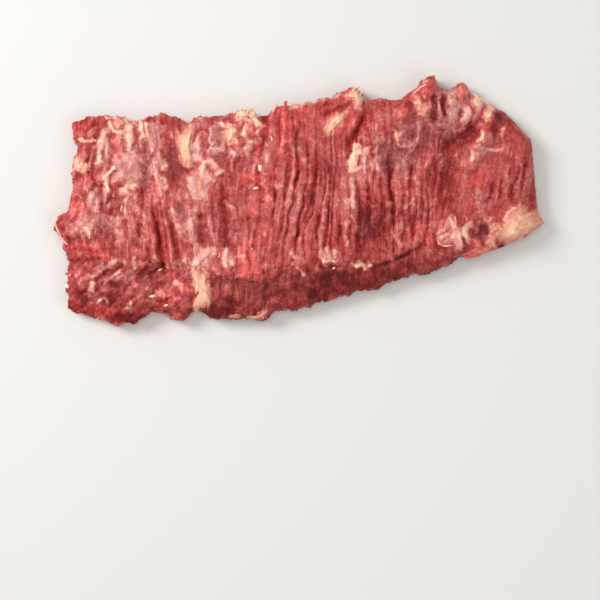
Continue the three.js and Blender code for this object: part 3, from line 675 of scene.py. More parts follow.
# %% Strokes of bright red
STROKES["blood"] = {
    "back left": [
        (0.7, 4, 0.2, (113, 122), (118, 123)), (1.1, 4, 0.2, (114, 136), (115, 146), (117, 153)),
        (1.1, 2.8, 0.4, (121, 139), (122, 147), (119, 156)),
        (0.8, 3, 0.2, (113, 156), (112, 163), (104, 168)),
    ],
    "back middle": [
        (1.3, 4, 0.6, (266, 127), (267, 134), (262, 142), (257, 149)),
        (1.9, 4.6, -0.8, (250, 125), (255, 131)), (0.8, 2.6, 0.1, (238, 124), (245, 123), (250, 125)),
        (1.1, 4.2, 0.5, (278, 108), (283, 116), (287, 125), (284, 135), (280, 146)),
        (1, 4, 0.1, (302, 108), (306, 111)),
        (1.1, 3.6, 0.2, (350, 112), (348, 120), (342, 128), (336, 132)),
    ],
    "back right": [
        (0.9, 3, 0.4, (352, 104), (350, 112)), (0.8, 4.2, 0.2, (403, 110), (401, 117)),
        (1, 3.6, 0.3, (414, 94), (424, 92), (434, 92)), (0.9, 1.8, 0.4, (430, 88), (434, 79)),
        (0.6, 3.4, 0.4, (430, 153), (430, 161), (424, 171)), (0.9, 3.4, 0.2, (484, 121), (482, 130)),
    ],
    "left": [
        (0.9, 4.6, 0.3, (70, 207), (78, 207), (86, 208)), (0.5, 6, 0, (77, 178), (84, 182), (94, 176)),
        (0.7, 4.4, 0.4, (156, 170), (157, 182), (158, 193), (161, 205)),
        (1.2, 3.6, 0.3, (57, 222), (60, 231), (65, 240)),
    ],
    "middle": [
        (0.9, 3, 0.1, (206, 170), (212, 172)), (1.4, 5.4, 0.8, (244, 177), (250, 173), (257, 177)),
        (0.8, 4.6, 0.5, (254, 199), (254, 213)),
        (0.75, 3.6, 0.6, (280, 148), (276, 160), (274, 172), (272, 186)),
    ],
    "right": [
        (1.1, 3.2, 0.6, (418, 226), (420, 233), (419, 238)), (1, 2.8, 0.3, (447, 224), (443, 231)),
        (0.8, 2.6, 0.2, (468, 243), (474, 240), (481, 241)),
        (0.7, 2.6, 0.1, (430, 222), (431, 232), (428, 242)), (1.2, 3, 0.3, (443, 222), (441, 229)),
        (1, 3.6, 0.3, (472, 245), (482, 246), (489, 243)), (0.6, 6.4, 0.3, (484, 171), (489, 179)),
    ],
    "front left": [
        (0.9, 4.6, 0.5, (64, 244), (74, 252), (84, 254), (93, 251)),
        (1, 3.6, 0.6, (92, 245), (98, 246), (101, 251)), (1, 1.8, 0.4, (106, 252), (104, 258), (102, 262)),
        (0.8, 3.6, 0.3, (127, 262), (129, 271)), (0.6, 3, 0.1, (142, 248), (142, 262)),
        (1.1, 4.2, 0.7, (164, 297), (173, 290), (183, 286), (189, 290)),
        (1.2, 3.6, 0.4, (170, 298), (179, 298), (180, 304)), (1.1, 3.6, 0.2, (172, 276), (181, 276)),
        (0.7, 5.6, 0.2, (177, 282), (183, 292)), (0.7, 4.6, 0, (72, 298), (80, 306), (92, 312), (106, 313)),
    ],
    "front middle": [
        (1.3, 4.4, 0.7, (247, 243), (243, 254), (244, 264), (247, 273)),
        (1.3, 4.4, 0.6, (252, 250), (254, 262), (256, 271)),
        (0.9, 2, 0.5, (257, 273), (263, 269), (268, 265)),
    ],
}

# %% Strokes of mauve haze
STROKES["purple"] = {
    "back left": [
        (0.9, 3.6, -0.3, (137, 124), (136, 135), (135, 147), (140, 151)),
        (0.8, 3, -0.3, (144, 141), (144, 150)), (0.9, 6, 0, (156, 128), (155, 144)),
        (1.1, 6, -0.9, (172, 146), (174, 158), (173, 170)),
    ],
    "back middle": [
        (0.9, 5.4, -0.3, (218, 132), (219, 143)), (0.8, 5, -0.27, (215, 156), (222, 160), (226, 164)),
        (0.6, 3, 0, (209, 119), (218, 117)), (0.7, 4, -0.3, (297, 146), (307, 146)),
    ],
    "back right": [
        (1.2, 2.8, -0.5, (403, 138), (402, 144)), (1.3, 6, -0.3, (384, 146), (386, 156), (387, 167)),
        (1.2, 5, -0.4, (402, 148), (411, 153)), (0.7, 2.6, -0.2, (412, 118), (409, 129)),
        (1, 4, -0.2, (440, 128), (443, 138)), (1.2, 4.4, -0.2, (425, 126), (424, 138), (420, 150)),
        (1.2, 4, -0.3, (413, 108), (411, 120), (412, 134)),
        (1.4, 3.6, -1.2, (434, 98), (434, 109), (434, 121)), (1.2, 2.8, -0.2, (444, 97), (444, 113)),
        (1.3, 2.8, -0.8, (460, 111), (460, 116)), (0.9, 3.6, -0.3, (431, 132), (430, 141)),
        (1.3, 4, -0.3, (498, 113), (501, 121)), (0.7, 3, -0.4, (487, 138), (484, 150)),
        (0.6, 4, -0.2, (492, 128), (494, 138), (494, 146)),
    ],
    "left": [
        (0.9, 10, 0.4, (125, 168), (131, 172), (126, 180)),
        (1.2, 4.4, -0.6, (144, 166), (146, 177), (145, 187)), (0.8, 3.4, -0.5, (102, 193), (103, 204)),
        (0.9, 5, -0.6, (172, 178), (182, 172)), (0.9, 3.8, -0.4, (74, 238), (83, 240), (92, 240)),
        (0.7, 5, -0.2, (105, 222), (106, 234)), (0.9, 5, -0.2, (181, 206), (185, 216)),
    ],
    "middle": [(0.5, 5, 0, (203, 218), (203, 238))],
    "right": [
        (0.9, 2.6, -0.3, (429, 167), (429, 174)), (1.2, 5.4, -0.6, (479, 224), (486, 228), (482, 236)),
        (0.45, 5, 0, (512, 172), (514, 192)), (0.6, 4.6, 0, (479, 192), (481, 206)),
    ],
    "front left": [(1.1, 4.6, -0.5, (141, 275), (147, 280), (143, 288))],
    "front right": [(0.5, 7, 0, (415, 255), (438, 253))],
}
print("strokes:", {kind: sum(map(len, places.values())) for kind, places in STROKES.items()})


# %% How near a point is to the strokes
def in_reach(x, y, line, reach):
    """Which points lie in the box round a line, widened by reach. Outside it a bell is close to 0."""
    low, high = line.min(0) - reach, line.max(0) + reach
    return (x > low[0]) & (x < high[0]) & (y > low[1]) & (y < high[1])


def stroke_values(x, y):
    """For each kind of stroke, how near a point is to one, the greatest strength times bell, and the
    sum of the rises in mm. The lines wobble and fade in places by noise."""
    bent_x = x + 0.7 * noise(x / 4.5, y / 4.5, 63) + 0.4 * noise(x / 1.7, y / 1.7, 64)
    bent_y = y + 0.7 * noise(x / 4.5, y / 4.5, 65) + 0.4 * noise(x / 1.7, y / 1.7, 66)
    fade = np.clip(0.9 + 0.45 * noise(x / 3.3, y / 3.3, 67), 0, 1.2)
    near = {kind: np.zeros(np.shape(x)) for kind in STROKES}
    total = np.zeros(np.shape(x))
    for kind, places in STROKES.items():
        for strength, half_pixels, rise, *route in sum(places.values(), []):
            line, half = from_photo(route), half_pixels * PIXEL
            spot = in_reach(x, y, line, 3 * half + 2)
            share = fade[spot] * bell(bent_x[spot], bent_y[spot], line, half)
            near[kind][spot] = np.maximum(near[kind][spot], strength * share)
            total[spot] += rise * share
    return near, total


# %% The slab's height without the grain
STEP_SOFTNESS = 0.012


def rim_rounding(u, v):
    """Rises from 0 at the rim to 1 inside, as a quarter of a parabola on each side."""
    ends = np.clip(np.minimum(u, 1 - u) * LENGTH / RIM_ROUNDING, 0, 1)
    sides = np.clip(np.minimum(v, 1 - v) * WIDTH / RIM_ROUNDING, 0, 1)
    return (1 - (1 - ends) ** 2) * (1 - (1 - sides) ** 2)


def above_step(u, v, x, y):
    """1 on the upper sheet and 0 on the front band, with a ragged line between them."""
    ragged = 0.02 * layered(x / 7, y / 7, 21) + 0.008 * noise(x / 1.7, y / 2.5, 22)
    return ease(-STEP_SOFTNESS, STEP_SOFTNESS, v - through(STEP_LINE, u) + ragged)


def main_height(u, v, x, y):
    """Height in mm without the grain: rounded rim, slow swell, step down to the front band,
    plus the mounds, less the clefts."""
    rounding = rim_rounding(u, v)
    swell = 0.9 * np.sin(x / 31 + 0.6) * np.cos(y / 27) + 0.5 * np.sin(x / 13 - y / 19)
    height = RIM_HEIGHT + (BODY_HEIGHT - RIM_HEIGHT) * rounding + swell * rounding
    height = height + (above_step(u, v, x, y) - 1) * BAND_DROP * ease(0, 0.1, v)
    for *ellipse, rise in MOUNDS.values():
        height = height + rise * (1 - ease(0.45, 1.25, ellipse_reach(x, y, *ellipse)))
    return height - cleft_share(x, y)


# %% [markdown]
# The grain.
# In the ridged places a bundle is a round crest between two sharp, dark grooves, and thinner strands
# lie side by side in it. Elsewhere the grain only shows as fibres, broken by creases. Both follow
# the grain lines. On the left of the front band the fibres slant, so they get directions of their own.

# %% Ridges, strands, fibres and creases
def ridge_starts():
    """Shares along the slab where each ridge starts: uneven widths, added up and scaled to 1."""
    k = np.arange(RIDGES)
    uneven = 1 + 0.24 * np.sin(2.4 * k) + 0.16 * np.sin(5.1 * k + 1)
    starts = np.concatenate([[0], np.cumsum(through(RIDGE_WIDTH, k / RIDGES) * uneven)])
    return starts / starts[-1]


STARTS = ridge_starts()
ridge_widths = np.diff(STARTS) * LENGTH
print("ridges:", RIDGES, "widths in mm:", ridge_widths.min().round(1), "to", ridge_widths.max().round(1))


def ridge_place(u, x, y):
    """Which ridge a point is on and how far across it, from 0 to 1. The grain wanders a little,
    so the share along the slab is first moved by slow noise."""
    inset = WALL_TUCK / LENGTH
    share = (u - inset) / (1 - 2 * inset)
    wander = 2.6 * layered(x / 17, y / 24, 11) + 0.9 * noise(x / 6, y / 12, 12)
    share = np.clip(share + wander / LENGTH * ease(0, 0.03, u) * ease(0, 0.03, 1 - u), 0, 0.9999)
    k = np.clip(np.searchsorted(STARTS, share, side="right") - 1, 0, RIDGES - 1)
    return k, (share - STARTS[k]) / (STARTS[k + 1] - STARTS[k])


SLANT_ANGLE = math.radians(38)


def slanted(x, y):
    """Distances across and along the slanting fibres: x and y turned by the slant angle."""
    along = x * math.cos(SLANT_ANGLE) + y * math.sin(SLANT_ANGLE)
    across = y * math.cos(SLANT_ANGLE) - x * math.sin(SLANT_ANGLE)
    return across, along


# %% The forms that noise makes
def ridge_forms(u, v, x, y):
    """On each ridge: the groove, which rises from 0 in the middle to 1 at both sides, the strands,
    how deep the groove is in mm, and a tone of the ridge's own."""
    k, across = ridge_place(u, x, y)
    groove = np.abs(2 * across - 1) ** 2.2
    strand = (2 * np.mod(3 * across + 0.37 * k + 0.5 * noise(x / 4, y / 20, 31), 1) - 1) ** 2
    deep = np.maximum(1.3 + 0.5 * np.sin(1.7 * k + 0.5) + 1.1 * noise(k * 3.1 + 0.5, v * 6, 32), 0.15)
    own_tone = noise(k * 2.7 + 0.4, v * 4, 35)
    return groove, strand, np.minimum(deep, 2.3), own_tone


def fibre_forms(u, v, x, y, slant):
    """Fine fibres and round bundles. The straight ones follow the grain lines, and the slanting ones
    take their place where slant is 1."""
    across, along = u * LENGTH, v * WIDTH
    slant_across, slant_along = slanted(x, y)
    bent = across + 1.1 * noise(x / 9, y / 12, 38)
    straight_fibre = layered(across / 0.95, along / 9, 33)
    slant_fibre = layered(slant_across / 1.1, slant_along / 8, 34)
    straight_bundle = puffy(bent / 3.4, along / 24, 36)
    slant_bundle = puffy(slant_across / 3.2, slant_along / 13, 37)
    fibre = straight_fibre * (1 - slant) + slant_fibre * slant
    return fibre, straight_bundle * (1 - slant) + slant_bundle * slant


# %% The share of each tissue. The slanting fibres fade out from the first to the second x in mm
SLANT_FADE = (-75, -45)


def tissue_shares(sheet, x, y):
    """How far a point belongs to each kind of tissue: its zones with its strokes over them, where
    dark, red and mauve strokes cut the silverskin. Also gives the strokes and their rise in mm."""
    value = {name: zone_value(name, x, y) for name in ZONES}
    stroke, stroke_rise = stroke_values(x, y)
    for kind in ("fat", "blood", "purple"):
        value[kind] = np.maximum(value[kind], stroke[kind])
    value["purple"] = value["purple"] * np.clip(1 - stroke["fat"], 0, 1)
    cover = np.maximum(0.8 * np.maximum(stroke["dark"], stroke["blood"]), 0.6 * stroke["purple"])
    value["silver"] = np.maximum(value["silver"] * np.clip(1 - cover, 0, 1), stroke["silver"])
    value["band"] = 1 - sheet
    value["slant"] = (1 - sheet) * (1 - ease(*SLANT_FADE, x))
    return value, stroke, stroke_rise


# %% Relief and lightness. From the first to the second x in mm the right end gets smooth and calm
SMOOTH_END = (75, 95)
CALM_END = (80, 100)
# Changes of lightness by kind of stroke: dark is painted shade, pale is partly painted highlight
STROKE_SHADE = {"silver": 0.3, "blood": 0.12, "pale": 0.2, "dark": -0.34, "purple": -0.12}


def tissue(u, v, x, y):
    """Relief in mm and the named values that steer the colour, for every point at once. Each is a
    weighted sum of zones, strokes and noise, and the ridged, plain and torn places share the face."""
    sheet = above_step(u, v, x, y)
    value, stroke, stroke_rise = tissue_shares(sheet, x, y)
    torn, slant = value["torn"], value["slant"]
    gentle, dark = value.pop("gentle"), value.pop("dark")
    ridged = value.pop("ridged") * sheet * (1 - 0.7 * value["silver"]) * (1 - 0.6 * torn) * (1 - gentle)
    plain = (1 - ridged) * (1 - torn)

    groove, strand, deep, own_tone = ridge_forms(u, v, x, y)
    fibre, bundle = fibre_forms(u, v, x, y, slant)
    warp_x, warp_y = x + 1.5 * noise(x / 7, y / 7, 51), y + 1.5 * noise(x / 7, y / 7, 52)
    humps, cell_tone = cells(warp_x / 5.4, warp_y / 10, 53)
    crumple = layered(warp_x / 2.4, warp_y / 4.2, 55)
    swell = layered(x / 5, y / 8, 45)
    grit = layered(x / 1.2, y / 1.6, 47, 2)

    # The relief: grooves between ridges, bundles, lumps where the surface is torn, and the strokes
    smooth = 1 - 0.8 * np.clip(value["fat"], 0, 1)
    even = np.clip(1 - 0.4 * value["purple"] - 0.35 * value["silver"], 0.2, 1) * smooth
    soft = (1 - 0.65 * value["band"] * (1 - slant)) * (1 - 0.7 * ease(*SMOOTH_END, x)) * (1 - gentle)
    lumpy = np.maximum(torn, 0.3 * value["band"]) * (1 - 0.75 * gentle)
    relief = 0.08 * fibre * soft * smooth + 0.35 * swell - ridged * (deep * groove + 0.2 * strand)
    relief = relief + 0.85 * plain * even * soft * (bundle - 0.5)
    relief = relief + lumpy * even * (1.5 * (humps - 0.5) + 0.35 * crumple)
    relief = relief + 0.05 * grit * smooth + stroke_rise

    # The lightness follows the same forms: grooves and hollows are darker, partly from juice gathered
    # there and partly as painted shade, and crests, bundles and humps are painted lighter
    groove_shade = 0.46 * groove * np.clip(deep / 1.5, 0.25, 1.1) - 0.12 + 0.05 * strand
    light = 0.54 - ridged * groove_shade + 0.04 * fibre + 0.02 * grit + 0.4 * plain * soft * (bundle - 0.5)
    light = light + lumpy * (1 - 0.6 * value["silver"]) * (0.42 * (humps - 0.45) + 0.12 * crumple)
    light = light + 0.1 * swell + 0.14 * own_tone * (1 - torn) + 0.12 * cell_tone * torn
    for kind, change in STROKE_SHADE.items():
        light = light + change * stroke[kind]
    spots = 0.24 * layered(warp_x / 3.2, warp_y / 3.8, 73) + 0.16 * noise(x / 9, y / 7, 74)
    light = light + value["band"] * (spots + 0.1 * grit)
    # Painted shade in the dark zones and in the clefts, then the lighter and darker places are added
    value["light"] = light - 0.3 * dark - 0.07 * cleft_share(x, y) + shade(x, y)

    # A torn white edge along the step, and where the shader keeps its own unevenness low
    edge = 4 * sheet * (1 - sheet) * np.clip(0.6 + 1.2 * noise(x / 3.2, y / 3.2, 58), 0, 1)
    value["silver"] = np.maximum(value["silver"], 0.75 * edge)
    bare = np.clip(1 - np.maximum(stroke["blood"], stroke["purple"]), 0, 1)
    value["band"] = value["band"] * (1 - 0.55 * slant) * bare
    drawn = np.clip(np.maximum.reduce([stroke[kind] for kind in ("fat", "silver", "purple")]), 0, 1)
    calm = 0.45 * ease(*CALM_END, x) + 0.2 * value["silver"] + 0.8 * gentle
    calm = calm + 0.6 * value["band"] * (1 - slant) + 0.6 * drawn
    value["calm"] = np.clip(calm, 0, 1)
    return relief * (0.5 + 0.5 * rim_rounding(u, v)), value


# %% [markdown]
# A mesh from arrays.
# Points go in with foreach_set as one long list, which takes a moment where a loop over vertices
# would take minutes. Values that steer the colour, such as how fatty a point is, ride along
# as attributes of the mesh.

# %% Make a mesh
def add_mesh(name, points, faces, material, values=None, maps=None):
    """One object at the origin from points in mm, arrays of faces of one size each, values per point
    and flat maps per point."""
    mesh = bpy.data.meshes.new(name)
    mesh.vertices.add(len(points))
    mesh.vertices.foreach_set("co", (np.asarray(points, float) * MM).ravel())
    corners = np.concatenate([f.ravel() for f in faces])
    sizes = np.concatenate([np.full(len(f), f.shape[1]) for f in faces])
    mesh.loops.add(len(corners))
    mesh.loops.foreach_set("vertex_index", corners)
    mesh.polygons.add(len(sizes))
    mesh.polygons.foreach_set("loop_start", np.cumsum(sizes) - sizes)
    mesh.polygons.foreach_set("use_smooth", np.ones(len(sizes), bool))
    mesh.update(calc_edges=True)
    mesh.validate()
    for key, value in (values or {}).items():
        layer = mesh.attributes.new(key, "FLOAT", "POINT")
        layer.data.foreach_set("value", np.asarray(value, np.float32).ravel())
    for key, flat in (maps or {}).items():
        uv = mesh.uv_layers.new(name=key)
        corner = np.empty(len(mesh.loops), int)
        mesh.loops.foreach_get("vertex_index", corner)
        uv.data.foreach_set("uv", np.asarray(flat, np.float32)[corner].ravel())
    mesh.materials.append(material)
    piece = bpy.data.objects.new(name, mesh)
    bpy.context.scene.collection.objects.link(piece)
    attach(piece, "root")
    print(name, "triangles:", int((sizes - 2).sum()))
    return piece


# %% Faces between rings
def between(first, second):
    """Four-sided faces between closed rings of point numbers: two rings, or rows of them."""
    corners = first, np.roll(first, -1, -1), np.roll(second, -1, -1), second
    return np.stack(corners, -1).reshape(-1, 4)


def fan(ring, pole):
    """Three-sided faces from each side of a closed ring of point numbers to one point."""
    return np.stack([ring, np.roll(ring, -1), np.full(len(ring), pole)], -1)


# %% [markdown]
# The finish of raw meat.
# Raw beef is deep red in the grooves and pinker on the crests, where thin white connective tissue
# catches the light; the colour adds painted shade in the grooves and painted highlights on the
# crests. Fat is cream, membrane is pearly and cool. One shader mixes these by the values stored on
# the mesh, and noise stretched along the grain breaks each colour up into fibres.

# %% Colours: for each lightness from 0 to 1, the red, green and blue seen on screen, 0 to 255
LEAN_RED = (
    (0.02, 110, 14, 12), (0.3, 152, 36, 32), (0.55, 181, 68, 63), (0.78, 202, 100, 93),
    (1, 232, 156, 145),
)
BRIGHT_RED = (0.02, 126, 16, 20), (0.5, 196, 58, 56), (0.78, 224, 94, 87), (1, 246, 156, 142)
MAUVE = (0.02, 106, 26, 30), (0.55, 160, 72, 70), (0.8, 190, 112, 107), (1, 224, 164, 154)
# The front band's red is darker: partly the meat's own colour, partly painted shade on its lower face
BAND_RED = (0.02, 82, 6, 5), (0.3, 116, 20, 16), (0.55, 148, 42, 36), (0.8, 180, 70, 62), (1, 212, 116, 108)
PEARL = (0.2, 172, 84, 82), (0.5, 212, 134, 126), (0.75, 234, 172, 160), (1, 250, 208, 194)
BLUSH = (0.1, 206, 104, 90), (0.6, 232, 148, 128), (0.9, 244, 182, 160)
SEAM_CREAM = (0.3, 224, 150, 126), (0.5, 243, 196, 165), (0.68, 252, 222, 192)
FAT_CREAM = (0.1, 216, 138, 108), (0.4, 239, 180, 148), (0.65, 250, 210, 179), (0.95, 254, 229, 206)
FILM_PINK = (0.05, 176, 78, 70), (0.3, 218, 134, 120), (0.54, 242, 186, 168), (0.84, 255, 226, 210)
SCRAP_RED = (0.15, 142, 26, 26), (0.5, 206, 66, 56), (0.75, 232, 106, 90), (0.95, 246, 164, 140)
RIM_STAIN = (0.2, 176, 62, 56), (0.5, 210, 104, 92), (0.9, 232, 150, 134)
# Painted highlights, mixed into the colour
GLINT_HIGHLIGHT = 240, 178, 166
WET_HIGHLIGHT = 248, 196, 184
FLOOR_GREY = 226, 224, 220


def linear(red, green, blue):
    """A colour as seen on screen, 0 to 255, turned into the linear values that a shader takes."""
    c = np.array([red, green, blue]) / 255
    c = np.where(c <= 0.04045, c / 12.92, ((c + 0.055) / 1.055) ** 2.4)
    return tuple(float(n) for n in c) + (1.0,)


print("lean red, half lit:", [round(n, 3) for n in linear(*LEAN_RED[2][1:])])


# %% Node helpers
class Nodes:
    """Short names for adding and joining the nodes of one material."""

    def __init__(self, name):
        self.material = bpy.data.materials.new(name)
        self.material.use_nodes = True
        self.tree = self.material.node_tree
        self.shader = self.tree.nodes["Principled BSDF"]

    def put(self, value, socket):
        """Joins a node's output to a socket, or sets a plain value on it."""
        if isinstance(value, bpy.types.NodeSocket):
            self.tree.links.new(value, socket)
        else:
            socket.default_value = value

    def add(self, kind, inputs=None, **settings):
        """A new node with its settings and its inputs."""
        node = self.tree.nodes.new(kind)
        for key, value in settings.items():
            setattr(node, key, value)
        for key, value in (inputs or {}).items():
            self.put(value, node.inputs[key])
        return node

    def set(self, **constants):
        """Plain values on the shader's sockets, with _ for each space in a socket's name."""
        for key, value in constants.items():
            self.shader.inputs[key.replace("_", " ")].default_value = value

    def value(self, name):
        """A value stored on the mesh."""
        return self.add("ShaderNodeAttribute", attribute_name=name).outputs["Fac"]

    def math(self, operation, a, b=0.0, c=0.0):
        """One step of arithmetic."""
        node = self.add("ShaderNodeMath", operation=operation)
        for socket, value in zip(node.inputs, (a, b, c)):
            self.put(value, socket)
        return node.outputs[0]

    def total(self, first, *others):
        """The sum of all parts."""
        for other in others:
            first = self.math("ADD", first, other)
        return first

    def times(self, a, b):
        """a times b."""
        return self.math("MULTIPLY", a, b)

    def line(self, a, slope, start):
        """a times slope, plus start."""
        return self.math("MULTIPLY_ADD", a, slope, start)

    def swing(self, noise_value, amount):
        """Noise from 0 to 1 turned into a change of half the amount up or down."""
        return self.line(noise_value, amount, -amount / 2)

    def mix(self, share, a, b):
        """Colour a, or b where the share is 1. The node keeps its colours in sockets 6 and 7."""
        node = self.add("ShaderNodeMix", data_type="RGBA")
        for socket, value in zip((node.inputs[0], node.inputs[6], node.inputs[7]), (share, a, b)):
            self.put(value, socket)
        return node.outputs[2]

    def blend(self, share, a, b):
        """The same mix for plain numbers, in sockets 2 and 3."""
        node = self.add("ShaderNodeMix", {"Factor": share}, data_type="FLOAT")
        for socket, value in zip((node.inputs[2], node.inputs[3]), (a, b)):
            self.put(value, socket)
        return node.outputs[0]

    def ramp(self, share, stops):
        """The colour that a row of stops has at that share."""
        node = self.add("ShaderNodeValToRGB", {"Fac": share})
        while len(node.color_ramp.elements) < len(stops):
            node.color_ramp.elements.new(1.0)
        for element, (place, *colour) in zip(node.color_ramp.elements, stops):
            element.position = place
            element.color = linear(*colour)
        return node.outputs["Color"]

    def step(self, share, low, high):
        """A soft step from 0 at low to 1 at high."""
        inputs = {"Value": share, "From Min": low, "From Max": high}
        return self.add("ShaderNodeMapRange", inputs, interpolation_type="SMOOTHSTEP").outputs["Result"]

    def map_noise(self, name, across, along, detail=3.0, warp=0.0):
        """Noise on a flat map, in spots of across by along millimetres."""
        inputs = {"Vector": self.add("ShaderNodeUVMap", uv_map=name).outputs["UV"]}
        inputs["Scale"] = (1 / across, 1 / along, 1)
        scaled = self.add("ShaderNodeMapping", inputs).outputs[0]
        inputs = {"Vector": scaled, "Scale": 1.0, "Detail": detail, "Distortion": warp}
        return self.add("ShaderNodeTexNoise", inputs).outputs["Fac"]

    def spot_noise(self, size, detail=3.0, warp=0.0):
        """Noise in space, in spots of that size in millimetres."""
        place = self.add("ShaderNodeTexCoord").outputs["Object"]
        inputs = {"Vector": place, "Scale": 1 / (size * MM), "Detail": detail, "Distortion": warp}
        return self.add("ShaderNodeTexNoise", inputs).outputs["Fac"]

    def cover(self, colour, height, strength, depth):
        """Joins a colour to the shader, and a height to it as a bump of that depth in millimetres."""
        inputs = {"Height": height, "Strength": strength, "Distance": depth * MM}
        bump = self.add("ShaderNodeBump", inputs)
        self.put(colour, self.shader.inputs["Base Color"])
        self.put(bump.outputs["Normal"], self.shader.inputs["Normal"])


# %% Raw lean meat
def raw_meat():
    """A lightness, the mesh's own plus noise, is looked up in the colours of each tissue. The tissues
    are then mixed one over another: lean, bright red, mauve, front band, pearly veil, fat, and last
    the painted highlights of the wet glints. Crests are smoother and wetter than grooves."""
    n = Nodes("raw_meat")
    slant, torn, calm = (n.value(name) for name in ("slant", "torn", "calm"))
    fibre = n.blend(slant, n.map_noise("Grain", 0.8, 8, 4, 0.5), n.map_noise("Slant", 0.8, 6, 4, 0.5))
    streak = n.blend(slant, n.map_noise("Grain", 1.9, 24, 3, 0.8), n.map_noise("Slant", 1.9, 13, 3, 0.8))
    dash = n.map_noise("Grain", 0.8, 2.6, 3, 0.6)
    blotch = n.spot_noise(11, 3, 0.5)
    patch = n.spot_noise(4.2, 3, 0.8)
    fine = n.spot_noise(1.4, 3)
    speck = n.spot_noise(0.75, 2)

    free = n.line(calm, -0.7, 1)
    lines = n.times(n.total(n.swing(fibre, 0.22), n.swing(streak, 0.46)), free)
    patches = n.times(n.swing(patch, 0.85), n.line(calm, -0.4, 1))
    light = n.total(n.value("light"), lines, patches, n.swing(fine, 0.48), n.swing(speck, 0.26))

    blood = n.total(n.value("blood"), n.swing(patch, 1.5), n.times(n.swing(streak, 1.1), free))
    bright = n.ramp(light, BRIGHT_RED)
    colour = n.mix(n.step(blood, 0.3, 0.75), n.ramp(light, LEAN_RED), bright)
    colour = n.mix(n.times(n.step(blotch, 0.54, 0.66), 0.35), colour, bright)
    haze = n.times(n.step(n.total(n.value("purple"), n.swing(patch, 1.2)), 0.2, 0.7), 0.85)
    haze = n.math("MAXIMUM", haze, n.times(n.step(blotch, 0.47, 0.36), 0.3))
    colour = n.mix(haze, colour, n.ramp(light, MAUVE))
    colour = n.mix(n.value("band"), colour, n.ramp(light, BAND_RED))

    veil = n.times(n.total(n.swing(patch, 1.15), n.swing(streak, 0.4)), free)
    veil = n.total(n.value("silver"), veil, n.times(torn, 0.2), n.swing(fine, 0.16))
    pearl = n.ramp(n.total(light, n.swing(speck, 0.2)), PEARL)
    colour = n.mix(n.times(n.step(veil, 0.1, 1.05), 0.88), colour, pearl)

    fat = n.total(n.value("fat"), n.swing(patch, 0.7), n.swing(streak, 0.3), n.swing(fine, 0.1))
    fat = n.step(fat, 0.05, 1.0)
    cream = n.ramp(n.total(patch, n.swing(fibre, 0.3)), SEAM_CREAM)
    colour = n.mix(n.step(fat, 0.05, 0.55), colour, n.ramp(light, BLUSH))
    colour = n.mix(n.step(fat, 0.4, 0.9), colour, cream)

    # Painted highlights: glints in dashes along the grain, and small wet highlights on the lighter places
    glint = n.times(n.step(dash, 0.62, 0.72), n.line(torn, 0.35, 0.13))
    colour = n.mix(glint, colour, linear(*GLINT_HIGHLIGHT))
    wet = n.times(n.step(speck, 0.48, 0.82), n.line(torn, 0.25, 0.25))
    colour = n.mix(n.times(wet, n.step(light, 0.35, 0.85)), colour, linear(*WET_HIGHLIGHT))

    height = n.total(n.times(fibre, 0.4), n.times(fine, 0.6), n.times(speck, 0.35), n.times(dash, 0.35))
    n.cover(colour, height, 0.6, 0.8)
    lit = n.step(light, 0.1, 0.6)
    n.put(n.line(fine, 0.3, n.line(lit, -0.3, 0.55)), n.shader.inputs["Roughness"])
    n.put(n.line(lit, 0.2, 0.03), n.shader.inputs["Coat Weight"])
    n.set(IOR=1.33, Subsurface_Weight=0.3, Subsurface_Radius=(1.0, 0.35, 0.25), Subsurface_Scale=1.5 * MM)
    n.set(Coat_Roughness=0.16, Coat_IOR=1.33)
    return n.material


RAW_MEAT = raw_meat()
print("nodes of raw meat:", len(RAW_MEAT.node_tree.nodes))


# %% Fat and film
def fat_and_film():
    """Cream fat, turned pink where film is 1 and bright red where bright is 1, stained at its rim."""
    n = Nodes("fat_and_film")
    lump = n.spot_noise(4.0, 3, 0.6)
    fine = n.spot_noise(1.0, 3)
    # Lightness from lumps of noise, plus the crease value: painted light and shade on the folds and the
    # scrap's tone
    shade_value = n.total(n.line(lump, 0.8, 0.1), n.swing(fine, 0.3), n.value("crease"))
    colour = n.mix(n.value("film"), n.ramp(shade_value, FAT_CREAM), n.ramp(shade_value, FILM_PINK))
    colour = n.mix(n.value("bright"), colour, n.ramp(shade_value, SCRAP_RED))
    stain = n.step(n.total(n.value("rim"), n.swing(lump, 1.3), n.swing(fine, 0.3)), 0.4, 1.15)
    colour = n.mix(n.times(stain, 0.8), colour, n.ramp(shade_value, RIM_STAIN))
    n.cover(colour, n.total(lump, n.times(fine, 0.6)), 0.3, 0.5)
    n.put(n.line(fine, 0.25, 0.3), n.shader.inputs["Roughness"])
    n.set(IOR=1.36, Subsurface_Weight=0.15, Subsurface_Radius=(1.0, 0.6, 0.4), Subsurface_Scale=1.0 * MM)
    n.set(Coat_Weight=0.25, Coat_Roughness=0.2, Coat_IOR=1.33)
    return n.material


FAT_AND_FILM = fat_and_film()
print("nodes of fat and film:", len(FAT_AND_FILM.node_tree.nodes))

# %% [markdown]
# Where the scraps of fat and film lie.
# The trimmed fat lies on the meat as flat lumps with ragged rims. Each is given by a few points of
# its outline, a height and a tone, which is above 0 where it is lighter. They come before the
# slab, because the meat around fat is paler and the slab's colour has to know how near it is.

